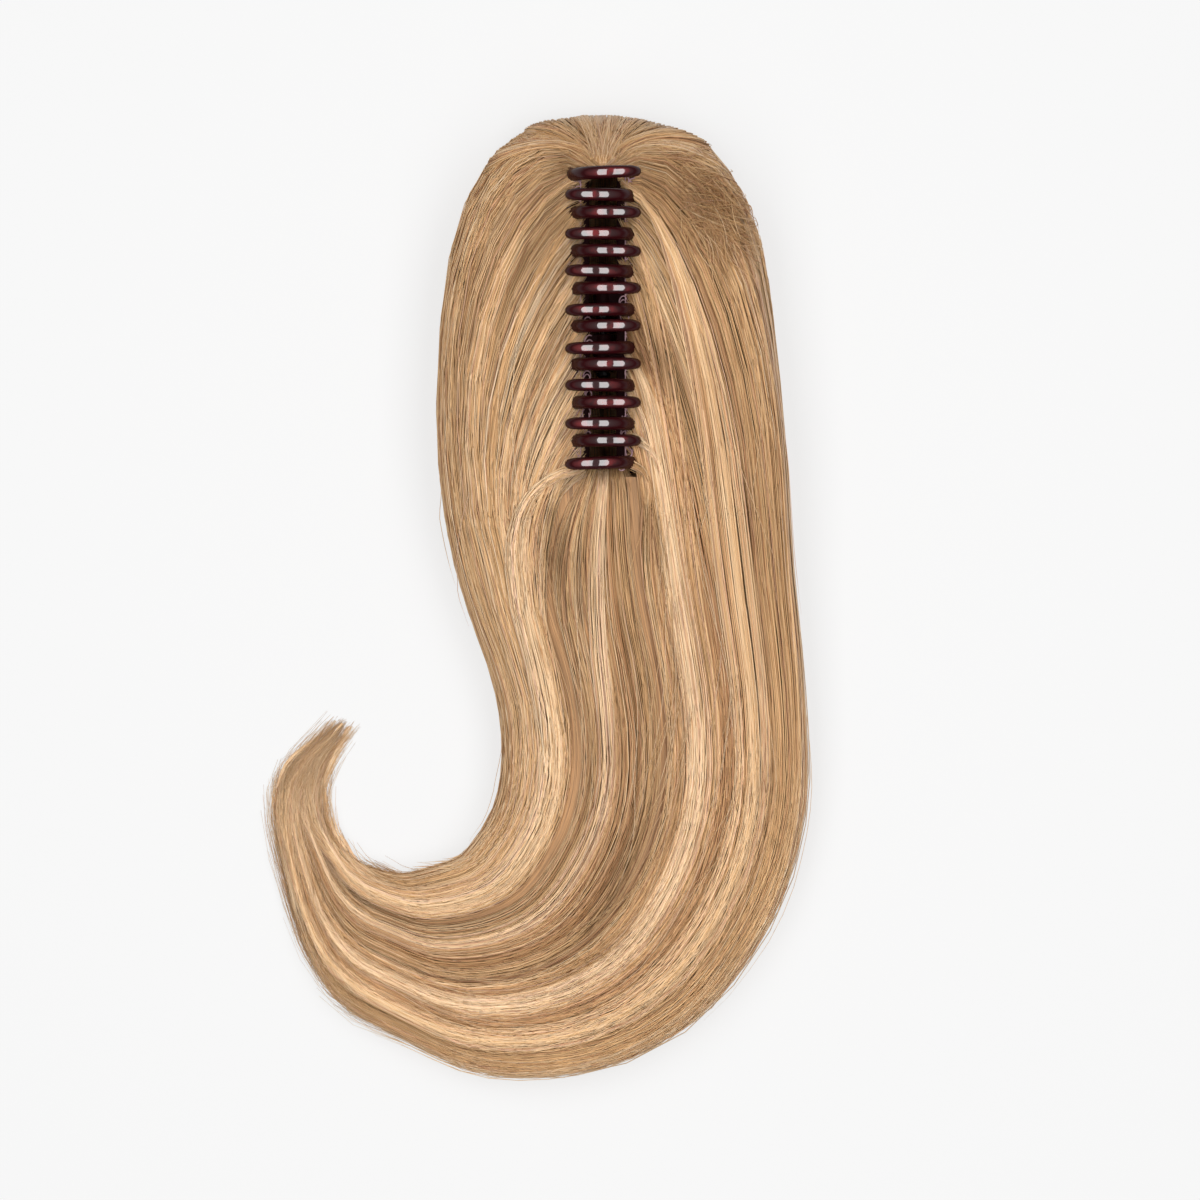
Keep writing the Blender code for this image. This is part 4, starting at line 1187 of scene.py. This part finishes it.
class HAIRPIECE_OT_bed(bpy.types.Operator):
    """Add the bed of hair under the strands, in place of the hair's plain solids"""

    bl_idname = "hairpiece.bed"
    bl_label = "Bed of hair"

    def execute(self, context):
        finish = bed_finish()
        seam = CROWN_TOP + CLIP_TO_SEAM
        under_clip = np.append(np.linspace(1.5 * MM, seam - 2 * MM, 22), seam - 0.3 * MM)
        rings = [self.layer_ring(along) for along in under_clip]
        rings += [self.tail_ring(along) for along in np.linspace(seam, FORM.solid_end - 2 * MM, 58)]
        tail = bed_object("hair_bed_tail", rings)
        dress(tail, finish, "hair", ROOT)
        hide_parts("hair_tail")
        for side, word in ((-1, "left"), (1, "right")):
            curtain = bed_object(f"hair_bed_{word}", self.curtain_rings(side))
            dress(curtain, finish, "hair")
            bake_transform(curtain)
            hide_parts(f"hair_{word}")
        return {"FINISHED"}

    @staticmethod
    def tail_ring(along):
        """The whole section of the tail, just under its strands, with a hollow on each side of the centre."""
        turn = 2 * math.pi * np.arange(RING_POINTS) / RING_POINTS
        side = np.where(np.cos(turn) < 0, -1.0, 1.0)
        angle = np.where(np.cos(turn) < 0, math.pi - turn, turn)
        lane = 0.5 + 0.5 * side * np.abs(np.cos(angle)) ** PLAN_POWER
        past_clip = along - CROWN_TOP - CLIP_TO_SEAM
        window = smoothstep(past_clip / HOLLOW_START)
        window *= 1 - smoothstep((past_clip - HOLLOW_START) / HOLLOW_LENGTH)
        dip = HOLLOW_DEPTH * window * hollows(lane) * (np.sin(angle) > 0)
        return FORM.surface(np.full(RING_POINTS, along), side, angle, BED_INSET + dip)

    @staticmethod
    def layer_ring(along):
        """The thin layer under the clip: flat above, and round below as the hair's section is there."""
        side_height = SIDE_LEVEL * FORM.section(along)[4]
        level = min(BACK_LAYER - 0.3 * MM, 0.97 * side_height)
        low = math.asin(min(1.0, (1 - level / side_height) / UNDER_STEEPNESS))
        half = RING_POINTS // 2
        turn = math.pi + low + (math.pi - 2 * low) * np.arange(half + 1) / half
        side = np.where(np.cos(turn) < 0, -1.0, 1.0)
        angle = np.where(np.cos(turn) < 0, math.pi - turn, turn - 2 * math.pi)
        below = FORM.surface(np.full(half + 1, along), side, angle, np.full(half + 1, BED_INSET))
        share = (np.arange(half) / half)[:, None]
        above = below[-1] * (1 - share) + below[0] * share
        return np.concatenate([above, below[:-1]])

    @staticmethod
    def curtain_rings(side):
        """The bed beside the clip: up the chamber's wall, over the top and down the outside to the layer."""
        rings = []
        for along in np.linspace(1.5 * MM, CROWN_TOP + CLIP_TO_SEAM, 30):
            cut = FORM.section(along)
            outside = abs(cut[0] if side < 0 else cut[2])
            beyond = smoothstep((CROWN_TOP - CLIP_TO_SEAM - along) / (1.5 * MM))
            top = cut[4] - BED_INSET
            ring = []
            y = CROWN_TOP - along
            for x, z in CHAMBER_WALL:
                inner = x * MM * (1 - beyond) + 0.4 * MM * beyond
                ring.append(Vector((side * min(inner, outside - 2 * MM), y, min(z * MM, top - 0.5 * MM))))
            inner_x = abs(ring[-1].x)
            angles = np.radians(np.linspace(80, -50, 16))
            spots = FORM.surface(np.full(16, along), np.full(16, float(side)), angles, np.full(16, BED_INSET))
            for spot in spots:
                x = max(abs(spot[0]), inner_x)
                ring.append(Vector((side * x, y, max(spot[2], BACK_LAYER + 0.3 * MM))))
            ring.append(Vector((side * (abs(ring[0].x) + 0.5 * MM), y, BACK_LAYER + 0.3 * MM)))
            rings.append(ring)
        return rings


def curve_through(points, share):
    """A point on the smooth curve through points, at a share from 0 to 1 of their count."""
    points = np.array(points, float)
    last = len(points) - 1
    at = np.clip(share, 0, 1) * last
    k = min(int(at), last - 1)
    t = at - k
    a, b, c, d = points[max(k - 1, 0)], points[k], points[k + 1], points[min(k + 2, last)]
    return 0.5 * (2 * b + (c - a) * t + (2 * a - 5 * b + 4 * c - d) * t * t + (3 * b - a - 3 * c + d) * t**3)


def curve_way(points, share):
    """The direction of that curve."""
    step = curve_through(points, share + 0.01) - curve_through(points, share - 0.01)
    return step / np.linalg.norm(step)


def band(points, wall, low, high, steps):
    """The closed outline of a wall about the curve, with rounded edges."""
    outer = []
    inner = []
    for k in range(steps + 1):
        share = low + (high - low) * k / steps
        spot = curve_through(points, share)
        way = curve_way(points, share)
        end = min(k, steps - k)
        half = wall / 2 * (0.55 if end == 0 else 0.88 if end == 1 else 1.0)
        outer.append((spot[0] + way[1] * half, spot[1] - way[0] * half))
        inner.append((spot[0] - way[1] * half, spot[1] + way[0] * half))
    return outer + inner[::-1]


JAW_CURVE = (
    (0.41 * JAW_BULGE, PIN_AT + 0.06 * JAW_RISE),
    (0.71 * JAW_BULGE, PIN_AT + 0.11 * JAW_RISE),
    (0.95 * JAW_BULGE, PIN_AT + 0.31 * JAW_RISE),
    (1.00 * JAW_BULGE, PIN_AT + 0.56 * JAW_RISE),
    (0.92 * JAW_BULGE, PIN_AT + 0.82 * JAW_RISE),
    (0.79 * JAW_BULGE, PIN_AT + 1.00 * JAW_RISE),
)
TOOTH_CURVE = (
    (0.99 * JAW_BULGE, PIN_AT + 0.52 * JAW_RISE),
    (0.95 * JAW_BULGE, PIN_AT + 0.82 * JAW_RISE),
    (0.80 * JAW_BULGE, PIN_AT + 0.73 * TOOTH_RISE),
    (0.52 * JAW_BULGE, PIN_AT + 0.89 * TOOTH_RISE),
    (0.12 * JAW_BULGE, PIN_AT + 0.98 * TOOTH_RISE),
    (-0.28 * TOOTH_REACH, PIN_AT + 1.00 * TOOTH_RISE),
    (-0.68 * TOOTH_REACH, PIN_AT + 0.955 * TOOTH_RISE),
    (-1.00 * TOOTH_REACH, PIN_AT + 0.85 * TOOTH_RISE),
)
LEVER_CURVE = (
    (0.64 * JAW_BULGE, PIN_AT + 0.10 * JAW_RISE),
    (0.56 * JAW_BULGE, PIN_AT - 0.07 * JAW_RISE),
    (0.46 * LEVER_LENGTH * 0.866, PIN_AT - 0.46 * LEVER_LENGTH * 0.5),
    (0.75 * LEVER_LENGTH * 0.866, PIN_AT - 0.76 * LEVER_LENGTH * 0.5),
    (LEVER_LENGTH * 0.866, PIN_AT - 1.06 * LEVER_LENGTH * 0.5),
)


def tooth_rings(side, y, rng):
    """One tooth in fine sections, with a rounded tip and a slight unevenness of its own."""
    rings = []
    corners = 16
    tilt = rng.normal(0, 0.010)
    for k in range(31):
        share = k / 30 if k < 27 else 1 - (30 - k) ** 2 / 9 * 0.1
        spot = curve_through(TOOTH_CURVE, share)
        way = curve_way(TOOTH_CURVE, min(share, 0.985))
        tip = max(0.0, (share - 0.86) / 0.14)
        slim = (1.0 - 0.18 * share) * math.sqrt(max(0.0, 1.0 - 0.96 * tip**3))
        grow = min(1.0, 0.55 + 2.2 * share)
        centre_y = y + TOOTH_LEAN * share * (2 * y / JAW_LENGTH) ** 3 - side * tilt * (spot[0] - JAW_BULGE)
        ring = []
        for j in range(corners):
            turn = 2 * math.pi * j / corners
            deep = TOOTH_DEPTH / 2 * slim * grow * math.sin(turn)
            beside = centre_y + TOOTH_WIDTH / 2 * slim * math.cos(turn)
            ring.append(Vector((side * (spot[0] + way[1] * deep), beside, spot[1] - way[0] * deep)) * MM)
        rings.append(ring)
    return rings


def flat_rings(sections, side):
    """Rings for a loft along Y from flat outlines: each is a y and a list of (x, z), all in mm."""
    return [[Vector((side * x, y, z)) * MM for x, z in ring] for y, ring in sections]


def jaw_lofts(side, rng):
    """The rings of each part of a jaw."""
    half = JAW_LENGTH / 2
    wall = []
    for k in range(13):
        turn = math.pi / 2 * k / 6
        end = -1 if k <= 6 else 1
        y = end * (half - JAW_END_ROUND * (1 - abs(math.cos(turn))))
        low = 0.34 * (1 - math.sin(turn))
        wall.append((y, band(JAW_CURVE, JAW_WALL, low, 1 - low, 18)))
    yield flat_rings(wall, side)
    pitch = (JAW_LENGTH - TOOTH_STAGGER - TOOTH_WIDTH - 2 * TOOTH_END_ROOM) / (TEETH - 1)
    first = (TEETH - 1) / 2 * pitch - side * TOOTH_STAGGER / 2
    for k in range(TEETH):
        yield tooth_rings(side, first - k * pitch, rng)
    lever = []
    round_end = 0.2 * LEVER_WIDTH
    for k in range(-6, 7):
        y = k / 6 * LEVER_WIDTH / 2
        edge = max(0.0, abs(y) - LEVER_WIDTH / 2 + round_end) / round_end
        lever.append((y, band(LEVER_CURVE, LEVER_WALL, 0.0, 1.0 - 0.20 * edge * edge, 14)))
    yield flat_rings(lever, side)
    for y in KNUCKLES_AT[side]:
        web = (
            (0.3 * KNUCKLE_RADIUS, PIN_AT - 0.55 * KNUCKLE_RADIUS),
            (0.68 * JAW_BULGE, PIN_AT - 0.02 * JAW_RISE),
            (0.68 * JAW_BULGE, PIN_AT + 0.12 * JAW_RISE),
            (0.3 * KNUCKLE_RADIUS, PIN_AT + 0.80 * KNUCKLE_RADIUS),
        )
        low, high = y - KNUCKLE_LENGTH / 2, y + KNUCKLE_LENGTH / 2
        yield flat_rings([(low + 0.24, web), (high - 0.24, web)], side)
        barrel = []
        turns = [2 * math.pi * j / 24 for j in range(24)]
        for place, share in ((low, 0.93), (low + 0.2, 1.0), (high - 0.2, 1.0), (high, 0.93)):
            radius = KNUCKLE_RADIUS * share
            barrel.append((place, [(radius * math.cos(a), PIN_AT + radius * math.sin(a)) for a in turns]))
        yield flat_rings(barrel, side)


def between(finish, value, low, high):
    """A share from 0 at the low value to 1 at the high one."""
    node = finish.node("ShaderNodeMapRange", {"clamp": True}, Value=value, From_Min=low, From_Max=high)
    return finish.value(node.outputs[0])


def resin_finish():
    """Dark glossy resin with a painted red glow, light shining through it painted in patches on the teeth's
    upward-facing backs, matt down in the chamber.
    """
    looks = bpy.context.scene.clip_looks
    resin = Finish("claw_resin")
    place = resin.node("ShaderNodeTexCoord").outputs["Object"]
    height = resin.node("ShaderNodeSeparateXYZ", {}, Vector=place).outputs["Z"]
    on_top = between(resin, height, 0.0515, 0.0560)
    above = between(resin, height, 0.040, 0.047)
    cloud = resin.node("ShaderNodeTexNoise", {}, Vector=place, Scale=230.0, Detail=2.0)
    patch = between(resin, cloud.outputs["Fac"], 0.46, 0.66)
    normal = resin.node("ShaderNodeTexCoord").outputs["Normal"]
    facing = resin.node("ShaderNodeSeparateXYZ", {}, Vector=normal).outputs["Z"]
    back = between(resin, facing, 0.78, 0.93)
    # Painted glow: the red of light through the resin, where the teeth are high and face up, in patches.
    resin.set(
        Base_Color=resin.mix(on_top * patch * back, tuple(looks.resin_dark), tuple(looks.resin_painted_glow)),
        Roughness=0.60 - 0.40 * above,
        Coat_Weight=above * back,
        IOR=1.5,
    )
    resin.shader.inputs["Specular IOR Level"].default_value = 0.15
    resin.shader.inputs["Coat Roughness"].default_value = 0.06
    resin.shader.inputs["Coat IOR"].default_value = 2.1
    return resin.material


def steel_finish():
    """Steel painted near-black, as painted shade down in the slot, and dulled unevenly."""
    steel = Finish("clip_steel")
    place = steel.node("ShaderNodeTexCoord").outputs["Object"]
    wear = steel.node("ShaderNodeTexNoise", {}, Vector=place, Scale=900.0, Detail=3.0)
    rough = 0.30 + 0.25 * steel.value(wear.outputs["Fac"])
    steel.set(Base_Color=tuple(bpy.context.scene.clip_looks.steel), Metallic=1.0, Roughness=rough)
    return steel.material


class HAIRPIECE_OT_clip(bpy.types.Operator):
    """Add the claw's two jaws in fine resin, and give the pin and the spring their finishes"""

    bl_idname = "hairpiece.clip"
    bl_label = "Claw clip"

    def execute(self, context):
        resin = resin_finish()
        for side, word in ((-1, "left"), (1, "right")):
            jaw = lofts_object(f"claw_{word}", jaw_lofts(side, np.random.default_rng(60 + side)))
            dress(jaw, resin, "claw", JAWS[side])
            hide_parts(f"jaw_{word}")
        steel = steel_finish()
        for node, slot in (("hinge_pin", "pin"), ("spring", "spring")):
            dress(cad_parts[node], steel, slot)
        return {"FINISHED"}


def net_finish():
    """Twisted mauve thread."""
    looks = bpy.context.scene.clip_looks
    finish = Finish("net_thread")
    place = finish.node("ShaderNodeTexCoord").outputs["Object"]
    twist = finish.node("ShaderNodeTexNoise", {}, Vector=place, Scale=1400.0, Detail=2.0)
    amount = finish.value(twist.outputs["Fac"])
    bump = finish.node("ShaderNodeBump", {}, Strength=0.5, Distance=0.0002, Height=twist.outputs["Fac"])
    finish.set(
        Base_Color=finish.mix(amount, scaled(looks.net, 0.5), scaled(looks.net, 1.5)),
        Roughness=0.55,
        Normal=bump.outputs[0],
    )
    return finish.material


def net_paths(side, samples=19):
    """The middles of a net's threads: slanting both ways, lengthwise, and in loose loops between teeth."""
    rng = np.random.default_rng(50 + side)
    profile = np.array(NET_PROFILE) * MM
    reach = NET_REACH * MM
    t = np.linspace(0, 1, samples)
    at = t * (len(profile) - 1)
    paths = []
    for start in np.arange(NET_FROM, NET_TO, NET_STEP):
        for slant in (-1, 1):
            y = (start + slant * NET_SLANT * t + (NET_SLANT if slant < 0 else 0.0)) * MM
            y = y + 0.5 * MM * np.sin(t * 19 + rng.uniform(0, 6)) + rng.normal(0, 0.25, samples) * MM
            x = np.interp(at, np.arange(len(profile)), profile[:, 0])
            x = x + rng.normal(0, 0.12, samples) * MM
            z = np.interp(at, np.arange(len(profile)), profile[:, 1])
            paths.append(np.stack([side * x, np.clip(y, -reach, reach), z], axis=1))
    level = np.ones(samples)
    for x, z in profile[::2]:
        paths.append(np.stack([side * x * level, reach * (2 * t - 1), z * level], axis=1))
    for x, y in NET_LOOPS[side]:
        turn = rng.uniform(0, 6.3) + rng.uniform(7.0, 10.0) * t
        wide = rng.uniform(1.1, 1.9) * (1 - 0.3 * t)
        z = 46.6 + 0.7 * np.sin(turn * 0.7) + 0.8 * t
        loop = [x + wide * np.cos(turn), y + 1.5 * wide * np.sin(turn) - 1.2 * t, z]
        paths.append(np.stack(loop, axis=1) * MM)
    return np.array(paths)


class HAIRPIECE_OT_nets(bpy.types.Operator):
    """Add the open net sewn along the outside of each jaw"""

    bl_idname = "hairpiece.nets"
    bl_label = "Nets"

    def execute(self, context):
        finish = net_finish()
        for side, word in ((-1, "left"), (1, "right")):
            paths = net_paths(side)
            radii = np.full(paths.shape[:2], context.scene.clip_looks.thread_radius)
            colours = np.full((*paths.shape[:2], 3), 0.3)
            net = strand_mesh(f"net_threads_{word}", paths, radii, colours, sides=5)
            dress(net, finish, "net", JAWS[side])
            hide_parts(f"net_{word}")
        return {"FINISHED"}


def add_floor(looks):
    """A plain pale floor, bright by itself so that it stays even."""
    bpy.ops.mesh.primitive_plane_add(size=8, location=(0, 0, -0.0002))
    floor = bpy.context.object
    floor.name = "floor"
    paper = Finish("floor_paper")
    paper.set(Base_Color=tuple(looks.floor), Roughness=0.9)
    paper.shader.inputs["Emission Color"].default_value = (1, 1, 1, 1)
    paper.shader.inputs["Emission Strength"].default_value = FLOOR_GLOW
    paper.shader.inputs["Specular IOR Level"].default_value = 0.0
    floor.data.materials.append(paper.material)


def add_lights(scene):
    """A soft white world, and a long box on each side, turned to the hair."""
    world = bpy.data.worlds.new("studio")
    scene.world = world
    world.use_nodes = True
    world.node_tree.nodes["Background"].inputs[0].default_value = (1, 1, 1, 1)
    world.node_tree.nodes["Background"].inputs[1].default_value = WORLD_STRENGTH
    for name, x in (("softbox_left", -LIGHT_X), ("softbox_right", LIGHT_X)):
        data = bpy.data.lights.new(name, "AREA")
        data.shape = "RECTANGLE"
        data.size, data.size_y = LIGHT_SIZE
        data.energy = LIGHT_POWER
        lamp = bpy.data.objects.new(name, data)
        scene.collection.objects.link(lamp)
        lamp.location = (x, LIGHT_Y, LIGHT_HEIGHT)
        lamp.rotation_euler = (0, math.atan2(x, LIGHT_HEIGHT - HAIR_LEVEL), 0)


def add_camera(scene, looks):
    """The camera, straight above the hair."""
    data = bpy.data.cameras.new("camera")
    data.sensor_width = 36.0
    data.lens = data.sensor_width * (looks.camera_height - HAIR_LEVEL) / looks.frame_width
    data.clip_end = 20
    camera = bpy.data.objects.new("camera", data)
    scene.collection.objects.link(camera)
    camera.location = (CAMERA_X, CAMERA_Y, looks.camera_height)
    camera.rotation_euler = (0, 0, 0)
    scene.camera = camera


class HAIRPIECE_OT_stage(bpy.types.Operator):
    """Set up the pale floor, the soft lights and the camera"""

    bl_idname = "hairpiece.stage"
    bl_label = "Studio"

    def execute(self, context):
        scene = context.scene
        looks = scene.studio_looks
        add_floor(looks)
        add_lights(scene)
        add_camera(scene, looks)
        scene.view_settings.view_transform = "Standard"
        return {"FINISHED"}


GROUPS = {
    "hair_sizes": HairSizes,
    "hair_colours": HairColours,
    "clip_looks": ClipLooks,
    "studio_looks": StudioLooks,
}

STEPS = (
    HAIRPIECE_OT_stage,
    HAIRPIECE_OT_clip,
    HAIRPIECE_OT_nets,
    HAIRPIECE_OT_bed,
    HAIRPIECE_OT_side_hair,
    HAIRPIECE_OT_centre_hair,
    HAIRPIECE_OT_crown_hair,
    HAIRPIECE_OT_under_hair,
    HAIRPIECE_OT_loose_hair,
)


class HAIRPIECE_PT_panel(bpy.types.Panel):
    """Lists the steps that build the hairpiece"""

    bl_idname = "HAIRPIECE_PT_panel"
    bl_label = "Hairpiece"
    bl_space_type = "VIEW_3D"
    bl_region_type = "UI"
    bl_category = "Hairpiece"

    def draw(self, context):
        for step in STEPS:
            self.layout.operator(step.bl_idname)
        for name in GROUPS:
            group = getattr(context.scene, name)
            for key in group.__annotations__:
                self.layout.prop(group, key)


def register():
    for name, group in GROUPS.items():
        bpy.utils.register_class(group)
        setattr(bpy.types.Scene, name, bpy.props.PointerProperty(type=group))
    for step in STEPS:
        bpy.utils.register_class(step)
    bpy.utils.register_class(HAIRPIECE_PT_panel)


def unregister():
    bpy.utils.unregister_class(HAIRPIECE_PT_panel)
    for step in reversed(STEPS):
        bpy.utils.unregister_class(step)
    for name, group in GROUPS.items():
        delattr(bpy.types.Scene, name)
        bpy.utils.unregister_class(group)


def main():
    register()
    for step in STEPS:
        family, name = step.bl_idname.split(".")
        getattr(getattr(bpy.ops, family), name)()


if __name__ == "__main__":
    main()
